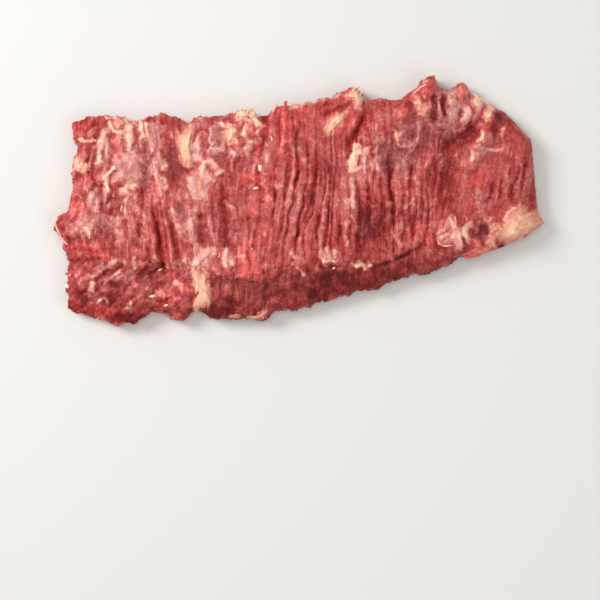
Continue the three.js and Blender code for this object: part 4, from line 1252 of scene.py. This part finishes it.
# %% Scraps: rise in mm, direction of the folds in degrees, tone, then the outline in pixels
CREAM_LOBES = {
    "fat_flap": (1.7, 32, -0.12, [
        (505, 220), (508, 214), (514, 209), (519, 206), (525, 207), (530, 211), (538, 211), (541, 216),
        (545, 222), (541, 226), (536, 229), (530, 234), (524, 236), (518, 240), (510, 243), (503, 242),
        (497, 240), (495, 234), (499, 229), (503, 225),
    ]),
    "fat_strip": (1.2, 95, 0, [
        (188, 126), (193, 127), (192, 133), (191, 142), (191, 150), (192, 158), (192, 164), (189, 168),
        (184, 165), (181, 159), (179, 150), (179, 142), (181, 135), (185, 131),
    ]),
    "folded_tip": (1, 60, 0, [
        (346, 95), (350, 92), (354, 88), (357, 89), (360, 93), (363, 98), (361, 103), (358, 108),
        (355, 108), (356, 103), (354, 98), (350, 97),
    ]),
    "tilted_fat": (1, 42, 0, [
        (346, 112), (341, 113), (335, 116), (330, 121), (326, 127), (325, 132), (328, 135), (332, 132),
        (336, 127), (341, 123), (345, 118),
    ]),
    "corner_lump": (1.3, 50, 0, [
        (489, 104), (494, 104), (497, 107), (494, 111), (492, 115), (491, 119), (487, 120), (483, 118),
        (484, 113), (487, 110),
    ]),
    "corner_crumb": (1.1, 40, 0, [
        (474, 96), (478, 94), (482, 97), (485, 102), (483, 105), (479, 108), (475, 106), (473, 101),
    ]),
    "seam_fat": (1, 95, 0, [
        (192, 271), (197, 270), (200, 273), (204, 271), (207, 275), (206, 280), (208, 285), (210, 289),
        (208, 293), (211, 297), (210, 303), (205, 305), (199, 309), (195, 311), (192, 307), (194, 302),
        (198, 298), (199, 293), (195, 291), (194, 287), (195, 282), (192, 277),
    ]),
    "curl": (1.1, 40, -0.28, [
        (491, 228), (494, 224), (500, 223), (504, 228), (503, 234), (499, 238), (495, 239), (494, 236),
        (497, 233), (499, 230), (496, 227), (493, 230),
    ]),
    "loose_tip": (0.7, 100, -0.15, [(488, 237), (491, 236), (493, 240), (496, 247), (493, 246), (490, 243)]),
    "window_fat": (0.8, 85, 0, [
        (226, 131), (230, 127), (235, 126), (237, 131), (235, 136), (236, 142), (232, 144), (227, 142),
        (225, 137),
    ]),
    "rosette_tip": (0.7, 60, 0.15, [(237, 116), (238, 110), (242, 108), (246, 110), (247, 116)]),
    "rosette_crumb": (0.7, 60, 0.15, [(249, 116), (250, 110), (253, 110), (256, 115), (253, 118)]),
    "left_patch": (0.7, 60, 0, [
        (72, 160), (75, 155), (78, 158), (79, 164), (83, 162), (88, 164), (88, 170), (84, 174), (79, 172),
        (75, 170), (72, 167),
    ]),
    "edge_fat_b": (0.6, 10, -0.15, [
        (248, 317), (255, 316), (261, 314), (266, 310), (268, 312), (262, 317), (255, 319),
    ]),
}
FILM_LOBES = {
    "star": (1.3, 100, 0, [
        (449, 215), (453, 221), (457, 226), (461, 227), (466, 223), (472, 220), (474, 225), (470, 229),
        (469, 233), (471, 239), (469, 243), (465, 239), (462, 238), (463, 244), (463, 249), (460, 252),
        (457, 250), (455, 246), (451, 242), (447, 241), (446, 237), (449, 233), (449, 228), (447, 221),
    ]),
    "star_left": (1, 40, -0.17, [
        (447, 217), (451, 222), (453, 229), (453, 237), (451, 244), (446, 246), (440, 246), (436, 241),
        (438, 234), (442, 229), (444, 223),
    ]),
    "edge_film": (0.5, 0, -0.15, [(228, 316), (235, 314), (243, 315), (238, 318), (231, 318)]),
}
BRIGHT_LOBES = {
    "red_flap": (1, 60, 0, [
        (412, 246), (414, 236), (417, 228), (421, 223), (424, 229), (423, 237), (419, 245), (415, 248),
    ]),
    "back_peak": (0.9, 100, 0, [
        (457, 90), (459, 84), (463, 81), (467, 84), (470, 90), (468, 97), (463, 103), (458, 100),
    ]),
    "red_strip": (0.9, 8, 0, [
        (463, 254), (470, 250), (480, 247), (490, 246), (493, 249), (486, 253), (476, 257), (468, 258),
    ]),
}


def closeness(x, y, scraps, reach):
    """1 on a scrap's outline, fading with the distance d to it as exp(-(d / reach) squared)."""
    value = np.zeros(np.shape(x))
    for *_, route in scraps.values():
        rim = from_photo(route + route[:1])
        near = in_reach(x, y, rim, 2.5 * reach)
        value[near] = np.maximum(value[near], bell(x[near], y[near], rim, reach))
    return value


print("scraps:", len(CREAM_LOBES) + len(FILM_LOBES) + len(BRIGHT_LOBES))

# %% [markdown]
# The slab itself.
# The upper face is the fine grid, the wall bulges out to the true outline and tucks under,
# and the underside closes it in shrinking rings. One closed mesh takes light as a solid does.

# %% The slab's rim: how it frays
COLUMNS = 540
ROWS = 138
WALL_RINGS = 8
UNDER_RINGS = 7
UNDER_SHRINK = 0.12
UNDER_LIFT = 0.4
FRAY_DEPTH = 2.5
CLEAN_CUT = (82, 108)


def looseness(x):
    """How much the rim frays: 1 on most of it, and a quarter past CLEAN_CUT, at the right end."""
    return 1 - 0.75 * ease(*CLEAN_CUT, x)


def fray(u, v, x, y):
    """Moves points near the rim by noise of a millimetre or so, times looseness and
    exp(-distance / FRAY_DEPTH), the distance measured from the rim inwards."""
    inward = np.minimum(np.minimum(u, 1 - u) * LENGTH, np.minimum(v, 1 - v) * WIDTH)
    weight = np.exp(-np.maximum(inward, 0) / FRAY_DEPTH) * looseness(x)
    move_x = 1.2 * noise(x / 6.3, y / 6.3, 81) + 0.8 * layered(x / 2.3, y / 2.3, 82)
    move_y = 1.2 * noise(x / 6.3, y / 6.3, 85) + 0.8 * layered(x / 2.3, y / 2.3, 86)
    return x + weight * move_x, y + weight * move_y


# %% Rings of the wall and the underside
def rings_below(places, u, v, x, z):
    """The wall's rings are a half turn of a flat ellipse from the upper rim to the foot, roughened by
    noise. The underside's rings shrink to its middle line and are lifted in faint ridges. Each row
    holds a ring's u, v and height, and the u and v that its colour follows, which run on down the
    wall as if it were folded flat."""
    i, j = places
    edge_u = np.where(i == 0, 0, np.where(i == COLUMNS, 1, u))
    edge_v = np.where(j == 0, 0, np.where(j == ROWS, 1, v))
    side_u, side_v = np.sign(edge_u - u), np.sign(edge_v - v)
    around = 0.45 * i + j
    rings = []
    for turn in range(1, WALL_RINGS + 1):
        angle = math.pi * turn / WALL_RINGS
        rough = 0.8 * layered(around / 5, turn / 3, 71) + 0.5 * noise(around / 1.7, turn / 2, 77)
        out = math.sin(angle) * (1 + looseness(x) * rough)
        sag = 0.5 + 0.5 * math.cos(angle) + 0.05 * math.sin(angle) * noise(around / 4, turn / 2, 79)
        down = z * (1 - sag)
        colour_uv = u + side_u * down / LENGTH, v + side_v * down / WIDTH
        rings.append((u + (edge_u - u) * out, v + (edge_v - v) * out, z * sag, *colour_uv))
    for ring in range(1, UNDER_RINGS + 1):
        share = ring / UNDER_RINGS
        ring_u, ring_v = u + (0.5 - u) * share * UNDER_SHRINK, v + (0.5 - v) * share
        lift = UNDER_LIFT * (2 * np.mod(ring_u * RIDGES, 1) - 1) ** 2 * math.sin(math.pi * share)
        rings.append((ring_u, ring_v, lift, ring_u, ring_v))
    return rings


# %% Build the slab
def build_slab():
    """Points, faces, and the u and v that the colour follows at each point: the grid of the upper
    face, then each ring below it, joined to the one before."""
    inset_u, inset_v = WALL_TUCK / LENGTH, WALL_TUCK / WIDTH
    i, j = np.meshgrid(np.arange(COLUMNS + 1), np.arange(ROWS + 1), indexing="ij")
    u = inset_u + (1 - 2 * inset_u) * i / COLUMNS
    v = inset_v + (1 - 2 * inset_v) * j / ROWS
    x, y = plan(u, v)
    z = main_height(u, v, x, y) + tissue(u, v, x, y)[0]
    x, y = fray(u, v, x, y)
    points = [np.stack([x, y, z], -1).reshape(-1, 3)]
    number = i * (ROWS + 1) + j
    corners = number[:-1, :-1], number[1:, :-1], number[1:, 1:], number[:-1, 1:]
    quads = [np.stack(corners, -1).reshape(-1, 4)]

    rim = rim_places(COLUMNS, ROWS)
    rings = rings_below(rim, u[rim], v[rim], x[rim], z[rim])
    previous = number[rim]
    for ring_u, ring_v, ring_z, *_ in rings:
        ring_x, ring_y = plan(np.clip(ring_u, -0.02, 1.02), np.clip(ring_v, -0.02, 1.02))
        ring_x, ring_y = fray(ring_u, ring_v, ring_x, ring_y)
        current = np.arange(len(ring_z)) + sum(map(len, points))
        points.append(np.stack([ring_x, ring_y, ring_z], -1))
        quads.append(between(current, previous))
        previous = current
    colour_u = np.concatenate([u.ravel()] + [ring[3] for ring in rings])
    colour_v = np.concatenate([v.ravel()] + [ring[4] for ring in rings])
    return np.concatenate(points), np.concatenate(quads), colour_u, colour_v


slab_points, slab_quads, slab_u, slab_v = build_slab()
slab_x, slab_y, slab_z = slab_points.T
slab_values = tissue(slab_u, slab_v, *plan(slab_u, slab_v))[1]
on_top = ease(3, 7, slab_z)
for kind, scraps, strength, reach in (("fat", CREAM_LOBES, 0.45, 1.9), ("silver", FILM_LOBES, 0.3, 2)):
    halo = strength * on_top * closeness(slab_x, slab_y, scraps, reach)
    slab_values[kind] = np.maximum(slab_values[kind], halo)
print("slab height in mm:", slab_z.max().round(2))
slab_maps = {
    "Grain": np.stack([slab_u * LENGTH, slab_v * WIDTH], -1),
    "Slant": np.stack(slanted(slab_x, slab_y), -1),
}
slab = add_mesh("lean_slab", slab_points + SHIFT, [slab_quads], RAW_MEAT, slab_values, slab_maps)
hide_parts("skirt_steak")


# %% [markdown]
# Something to lay the scraps on.
# Fat, film and threads have to touch the meat all over, so they need the height of the slab at any
# x and y. The slab's own points are averaged into small square cells, and a height is read
# back by blending the four nearest cells.

# %% A height chart of the slab
CELL = 0.8
CHART_REACH = (140, 75)
FILL_ROUNDS = 40
UPPER_POINTS = slab_points[: (COLUMNS + 1) * (ROWS + 1)]


def height_chart(points):
    """Mean height in each cell, with empty cells filled from their neighbours, again and again."""
    shape = tuple(int(2 * r / CELL) + 1 for r in CHART_REACH)
    i, j = (((points[:, n] + CHART_REACH[n]) / CELL).round().astype(int) for n in (0, 1))
    total, hits = np.zeros(shape), np.zeros(shape)
    np.add.at(total, (i, j), points[:, 2])
    np.add.at(hits, (i, j), 1)
    known = hits > 0
    chart = np.where(known, total / np.maximum(hits, 1), 0)
    for _ in range(FILL_ROUNDS):
        sums, near = np.zeros(shape), np.zeros(shape)
        for axis in (0, 1):
            for side in (-1, 1):
                sums += np.roll(chart * known, side, axis)
                near += np.roll(known, side, axis)
        fill = ~known & (near > 0)
        chart[fill] = sums[fill] / near[fill]
        known = known | fill
    return chart


CHART = height_chart(UPPER_POINTS)


def surface(x, y):
    """Height of the slab's upper face at any x and y, blended from the four nearest cells."""
    a, b = (x + CHART_REACH[0]) / CELL, (y + CHART_REACH[1]) / CELL
    i = np.clip(np.floor(a).astype(int), 0, CHART.shape[0] - 2)
    j = np.clip(np.floor(b).astype(int), 0, CHART.shape[1] - 2)
    fa, fb = np.clip(a - i, 0, 1), np.clip(b - j, 0, 1)
    low = CHART[i, j] * (1 - fa) + CHART[i + 1, j] * fa
    high = CHART[i, j + 1] * (1 - fa) + CHART[i + 1, j + 1] * fa
    return low * (1 - fb) + high * fb


MEAN_HEIGHT = float(UPPER_POINTS[:, 2].mean())
print("mean height of the upper face in mm:", round(MEAN_HEIGHT, 2))

# %% [markdown]
# Scraps of fat and film.
# Rings shrink from a scrap's outline to its middle. The upper side is raised in a soft plateau with
# lumps, and the lower side is sunk into the meat, so each scrap is closed and never floats.

# %% One scrap
# Weight of the painted light and shade on a scrap's folds, lighter on their tops
FOLD_SHADING = 0.35


def smooth_loop(points, count):
    """A closed curve through points: a cubic between each two, with the slopes of their neighbours,
    read at equal steps of length."""
    p = np.array(points, float)
    t = np.linspace(0, 1, 24, endpoint=False)[:, None]
    ends = p[:, None], np.roll(p, -1, 0)[:, None]
    slopes = (np.roll(p, -1, 0) - np.roll(p, 1, 0))[:, None] / 2
    slopes = slopes, np.roll(slopes, -1, 0)
    curve = (2 * t**3 - 3 * t**2 + 1) * ends[0] + (t**3 - 2 * t**2 + t) * slopes[0]
    curve = (curve + (3 * t**2 - 2 * t**3) * ends[1] + (t**3 - t**2) * slopes[1]).reshape(-1, 2)
    closed = np.vstack([curve, curve[:1]])
    length = np.concatenate([[0], np.cumsum(np.hypot(*np.diff(closed, axis=0).T))])
    at = np.linspace(0, length[-1], count, endpoint=False)
    return np.stack([np.interp(at, length, closed[:, axis]) for axis in (0, 1)], -1)


def lobe(points, rise, turn, tone, seed, stain=1.0, sides=120, rings=20):
    """One closed scrap, r being 1 at its rim and 0 in its middle. Upper side: the meat's height, plus
    rise times (1 - r cubed), plus folds that run in one direction. Lower side: a little under the
    meat's surface. Each point also gets two values: its rim value, stain times r, and its crease,
    painted light and shade that follow its folds, plus the tone."""
    loop = smooth_loop(points, sides)
    turned = np.roll(loop, -1, 0)
    if np.sum(loop[:, 0] * turned[:, 1] - turned[:, 0] * loop[:, 1]) < 0:
        loop = loop[::-1]
    middle = loop.mean(0)
    spread = loop - middle
    size = min(1, np.hypot(*spread.T).mean() / 3)
    outward = spread / np.hypot(*spread.T)[:, None]
    rim_x, rim_y = loop.T
    wave = 0.55 * noise(rim_x / 1.6, rim_y / 1.6, seed) + 0.35 * noise(rim_x / 0.7, rim_y / 0.7, seed + 1)
    r = (1 - (np.arange(rings) / rings) ** 1.4)[:, None]
    x, y = (middle[n] + spread[:, n] * r + outward[:, n] * size * wave * r**4 for n in (0, 1))

    c, s = math.cos(math.radians(turn)), math.sin(math.radians(turn))
    across, along = y * c - x * s, x * c + y * s
    across = across + 0.8 * noise(x / 4, y / 4, seed + 5)
    folds = puffy(across / 3.4, along / 9, seed + 2) - 0.5
    folds = (folds + 0.5 * layered(across / 1.2, along / 3.5, seed + 4)) * (1 - r**4)
    base = surface(x, y)
    top = base - 0.2 + (rise + 0.2) * (1 - r**3) + (0.15 + 0.3 * rise) * folds
    bottom = base - 0.25 - 0.9 * (1 - r**2)
    upper = np.stack([x, y, top], -1).reshape(-1, 3)
    lower = np.stack([x, y, bottom], -1)[1:].reshape(-1, 3)
    poles = np.array([[*middle, top[-1].mean()], [*middle, bottom[-1].mean()]])

    pole = len(upper) + len(lower)
    above = np.arange(rings * sides).reshape(rings, sides)
    below = np.vstack([above[:1], above[1:] + (rings - 1) * sides])
    quads = np.concatenate([between(above[:-1], above[1:]), between(below[1:], below[:-1])])
    tris = np.concatenate([fan(above[-1], pole), fan(below[-1], pole + 1)[:, ::-1]])
    marks = np.stack([stain * (r + 0 * x), FOLD_SHADING * folds + tone], -1)
    marks = np.concatenate([marks.reshape(-1, 2), marks[1:].reshape(-1, 2), [(0, tone)] * 2])
    return np.concatenate([upper, lower, poles]), quads, tris, marks


# %% Lay the scraps on the slab
def add_scraps(name, shapes, film, bright):
    """One piece from several shapes, where each shape's faces count past the points before it. Film
    and bright say how pink and how red it is."""
    points, quads, tris, marks = zip(*shapes)
    starts = np.cumsum([0] + [len(some) for some in points])
    quads, tris = ([faces + start for faces, start in zip(kind, starts)] for kind in (quads, tris))
    points = np.concatenate(points)
    rim, crease = np.concatenate(marks).T
    values = {"rim": rim, "crease": crease}
    values |= {"film": np.full(len(points), film), "bright": np.full(len(points), bright)}
    faces = [np.concatenate(quads), np.concatenate(tris)]
    return add_mesh(name, points + SHIFT, faces, FAT_AND_FILM, values)


def lobes(table, seed):
    """The shapes of one table of scraps, each with a seed of its own."""
    rows = enumerate(table.values())
    return [lobe(from_photo(route), rise, turn, tone, seed + 7 * n) for n, (rise, turn, tone, route) in rows]


add_scraps("cream_fat", lobes(CREAM_LOBES, 101), film=0.0, bright=0.0)
add_scraps("pink_film", lobes(FILM_LOBES, 301), film=1.0, bright=0.0)
add_scraps("bright_scraps", lobes(BRIGHT_LOBES, 501), film=1.0, bright=0.8)

# %% [markdown]
# Threads, shreds and flecks.
# Butchering leaves torn threads of connective tissue on the meat. A thread is a flat tube swept along
# a smooth curve, thin at both ends. The ones that show clearly have their own routes, and smaller
# ones are drawn at random, with a fixed seed, where the surface is torn. Flecks are tiny flat scraps
# of film.

# %% Threads in pixels: width, then the route. Flecks: middle, width, height, turn in degrees
CREAM_STRANDS = {
    "rosette_tuft_a": (2.5, [(236, 119), (238, 112), (242, 108)]),
    "rosette_tuft_b": (2.5, [(246, 115), (249, 109), (254, 108)]),
    "tip_tuft_a": (2.1, [(352, 92), (355, 87), (360, 86)]),
    "tip_tuft_b": (2.1, [(358, 96), (362, 92), (364, 88)]),
    "corner_thread": (2, [(474, 92), (480, 97), (487, 101)]),
}
FILM_STRANDS = {
    "flap_shred_a": (3.2, [(272, 112), (275, 106), (277, 101)]),
    "back_streak": (2.2, [(412, 94), (420, 88), (427, 83)]),
    "peak_thread": (2, [(464, 84), (461, 90), (466, 98)]),
    "left_curl": (2.6, [(57, 217), (54, 222), (57, 231), (62, 240), (67, 245)]),
    "star_rim": (1.7, [(437, 238), (439, 244), (446, 246), (453, 245)]),
    "star_spine": (2.2, [(455, 216), (455, 224), (458, 231)]),
}
BRIGHT_STRANDS = {
    "flap_shred_b": (3.6, [(283, 111), (285, 105), (286, 99)]),
    "back_spike": (3.4, [(430, 88), (433, 80), (435, 74)]),
}
FLECKS = {
    "rosette": (272, 139, 2.6, 5.1, 0),
    "middle_a": (260, 168, 3.8, 6.7, 0),
    "middle_b": (256, 188, 5.4, 3, 0),
    "groove": (160, 269.5, 5.8, 2.2, -35),
    "low_a": (152, 296.5, 8, 3.7, -8),
    "low_b": (165, 305.5, 5.4, 3.2, 0),
    "low_e": (100, 300, 3.5, 3.2, 0),
    "left_a": (65, 278, 2.9, 6.4, 0),
    "left_b": (65, 286, 4.8, 4.5, 0),
    "left_c": (65, 305, 3.2, 6.4, 0),
    "step_a": (334, 268, 2.9, 2.6, 0),
    "step_b": (252, 249, 1.9, 2.6, 0),
}
print("threads:", len(CREAM_STRANDS) + len(FILM_STRANDS) + len(BRIGHT_STRANDS), "flecks:", len(FLECKS))

# %% One thread, one fleck
THREAD_SIDES = 8
THREAD_STEP = 0.5
THREAD_FLATNESS = 0.42
THREAD_STAIN = 0.3
FLECK_RISE = 0.55
FLECK_STAIN = 0.6
FLECK_TONE = 0.28
FLECK_SIDES = 24
FLECK_RINGS = 7


def thread(points, width, seed):
    """One closed thread. Half its width is width / 2 times the root of (1 - |2 s - 1| cubed), s the
    share of its length, with wobble. Its thickness is THREAD_FLATNESS of that, and it rests in the
    meat's surface."""
    p = np.array(points, float)
    place = np.concatenate([[0], np.cumsum(np.hypot(*np.diff(p, axis=0).T))])
    count = max(8, int(place[-1] / THREAD_STEP))
    s = np.linspace(0, 1, count + 1)
    at = s * place[-1]
    x, y = (through(np.stack([place, p[:, axis]], -1), at) for axis in (0, 1))
    x = x + 0.35 * noise(at / 1.7, seed, seed)
    y = y + 0.35 * noise(at / 1.7, -seed, seed + 1)
    slope = np.stack([np.gradient(x), np.gradient(y)], -1)
    slope /= np.hypot(*slope.T)[:, None]
    half = width / 2 * np.sqrt(np.maximum(1 - np.abs(2 * s - 1) ** 3, 0))
    half = half * (1 + 0.35 * noise(at / 1.1, 0.5, seed + 2))
    lift = surface(x, y) + 0.2 * width + 0.35 * np.abs(noise(at / 3, 0.3, seed + 3))
    angle = np.linspace(0, 2 * math.pi, THREAD_SIDES, endpoint=False)
    around = half[1:-1, None] * np.cos(angle)
    ring_x = x[1:-1, None] - slope[1:-1, 1, None] * around
    ring_y = y[1:-1, None] + slope[1:-1, 0, None] * around
    ring_z = lift[1:-1, None] + THREAD_FLATNESS * half[1:-1, None] * np.sin(angle)
    body = np.stack([ring_x, ring_y, ring_z], -1).reshape(-1, 3)
    ends = np.array([[x[0], y[0], lift[0]], [x[-1], y[-1], lift[-1]]])
    rings = np.arange(len(body)).reshape(-1, THREAD_SIDES)
    tris = np.concatenate([fan(rings[0], len(body))[:, ::-1], fan(rings[-1], len(body) + 1)])
    marks = np.full((len(body) + 2, 2), (THREAD_STAIN, 0.0))
    return np.concatenate([body, ends]), between(rings[:-1], rings[1:]), tris, marks


def ellipse_loop(x, y, wide, high, turn):
    """Eight points of a turned ellipse, each moved in or out by noise, in pixels of the photograph."""
    angle = np.linspace(0, 2 * math.pi, 8, endpoint=False)
    ragged = 1 + 0.7 * noise(1.9 * angle, x, 71)
    along, over = ragged * wide / 2 * np.cos(angle), ragged * high / 2 * np.sin(angle)
    c, s = math.cos(math.radians(turn)), math.sin(math.radians(turn))
    return np.stack([x + along * c - over * s, y + along * s + over * c], -1)


# %% Threads at random
RNG = np.random.default_rng(7)


def on_torn_meat():
    """A place where the surface is torn, and a direction near that of the grain."""
    while True:
        u, v = RNG.uniform(0.03, 0.97), RNG.uniform(0.05, 0.95)
        x, y = (float(c) for c in plan(u, v))
        if zone_value("torn", x, y) > 0.5:
            return x, y, math.pi / 2 + RNG.uniform(-0.8, 0.8)


def random_threads(count, length, width):
    """Widths and routes of short threads in mm, on torn meat, each bent once half way."""
    strands = []
    for _ in range(count):
        x, y, direction = on_torn_meat()
        reach = length * RNG.uniform(0.6, 1.4)
        bend = direction + RNG.uniform(-0.9, 0.9)
        middle_x, middle_y = x + reach / 2 * math.cos(direction), y + reach / 2 * math.sin(direction)
        end = (middle_x + reach / 2 * math.cos(bend), middle_y + reach / 2 * math.sin(bend))
        strands.append((width * RNG.uniform(0.7, 1.3), [(x, y), (middle_x, middle_y), end]))
    return strands


# %% Lay the threads and flecks on the slab
def in_mm(strands):
    """Widths and routes of threads in mm, from pixels of the photograph."""
    return [(PIXEL * width, from_photo(route)) for width, route in strands.values()]


def threads(strands, seed):
    """The shapes of several threads, each with a seed of its own."""
    return [thread(points, width, seed + 5 * n) for n, (width, points) in enumerate(strands)]


def flecks(seed):
    """The shapes of the flecks: small coarse lobes, less stained and lighter than the others."""
    shapes = []
    for n, fleck in enumerate(FLECKS.values()):
        loop = from_photo(ellipse_loop(*fleck))
        grid = {"sides": FLECK_SIDES, "rings": FLECK_RINGS}
        shapes.append(lobe(loop, FLECK_RISE, 0, FLECK_TONE, seed + n, FLECK_STAIN, **grid))
    return shapes


film_shapes = threads(in_mm(FILM_STRANDS) + random_threads(14, length=3.0, width=0.7), 2001) + flecks(2901)
add_scraps("cream_threads", threads(in_mm(CREAM_STRANDS), 1001), film=0.0, bright=0.0)
add_scraps("film_threads", film_shapes, film=1.0, bright=0.0)
add_scraps("red_threads", threads(in_mm(BRIGHT_STRANDS), 4001), film=0.0, bright=1.0)

# %% [markdown]
# Floor, light and camera.
# The slab lies on a plain pale floor under soft studio light, with the strongest light low on the
# left, so that each ridge has a light and a dark side. The camera looks straight down.

# %% Stage, in metres
FLOOR_HALF = 3.0
FLOOR_GAP = 0.0002
WORLD_LIGHT = 0.42
floor_mesh = bpy.data.meshes.new("floor")
floor_corners = [(FLOOR_HALF * x, FLOOR_HALF * y, 0) for x, y in ((-1, -1), (1, -1), (1, 1), (-1, 1))]
floor_mesh.from_pydata(floor_corners, [], [(0, 1, 2, 3)])
floor = bpy.data.objects.new("floor", floor_mesh)
floor.location.z = -FLOOR_GAP
bpy.context.scene.collection.objects.link(floor)
floor_finish = Nodes("pale_floor")
floor_finish.set(Base_Color=linear(*FLOOR_GREY), Roughness=0.8)
floor_mesh.materials.append(floor_finish.material)
floor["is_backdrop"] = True


def softbox(name, place, size, power):
    """A square soft white light aimed at the slab from a place in metres."""
    light = bpy.data.lights.new(name, "AREA")
    light.energy = power
    light.size = size
    lamp = bpy.data.objects.new(name, light)
    lamp.location = place
    lamp.rotation_euler = (-lamp.location).to_track_quat("-Z", "Y").to_euler()
    bpy.context.scene.collection.objects.link(lamp)


softbox("key_light", (-0.9, 0.45, 0.8), 0.5, 11.6)
softbox("fill_light", (0.7, -0.6, 0.9), 0.8, 3)
softbox("top_light", (-0.1, 0.1, 1.5), 0.9, 5)
world = bpy.data.worlds.new("studio")
world.use_nodes = True
world.node_tree.nodes["Background"].inputs["Color"].default_value = (1, 1, 1, 1)
world.node_tree.nodes["Background"].inputs["Strength"].default_value = WORLD_LIGHT
bpy.context.scene.world = world
bpy.context.scene.view_settings.view_transform = "Standard"
print("lights:", [light.name for light in bpy.data.lights])

# %% Camera
IMAGE_SIZE = 600
VIEW_HEIGHT = 0.8
SENSOR = 36
camera_data = bpy.data.cameras.new("camera")
camera_data.sensor_width = SENSOR
camera_data.lens = SENSOR * VIEW_HEIGHT / (IMAGE_SIZE * PIXEL * MM)
camera = bpy.data.objects.new("camera", camera_data)
camera.location = (
    (IMAGE_SIZE / 2 - SLAB_MIDDLE[0]) * PIXEL * MM,
    (SLAB_MIDDLE[1] - IMAGE_SIZE / 2) * PIXEL * MM,
    VIEW_HEIGHT + MEAN_HEIGHT * MM,
)
bpy.context.scene.collection.objects.link(camera)
bpy.context.scene.camera = camera
print("camera at:", [round(c, 4) for c in camera.location])

# %% Compare the boxes and finish
low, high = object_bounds()
grown = [round(float(c) / MM, 2) for c in list(cad_low - low) + list(high - cad_high)]
print("grown past the CAD box in mm:", grown)
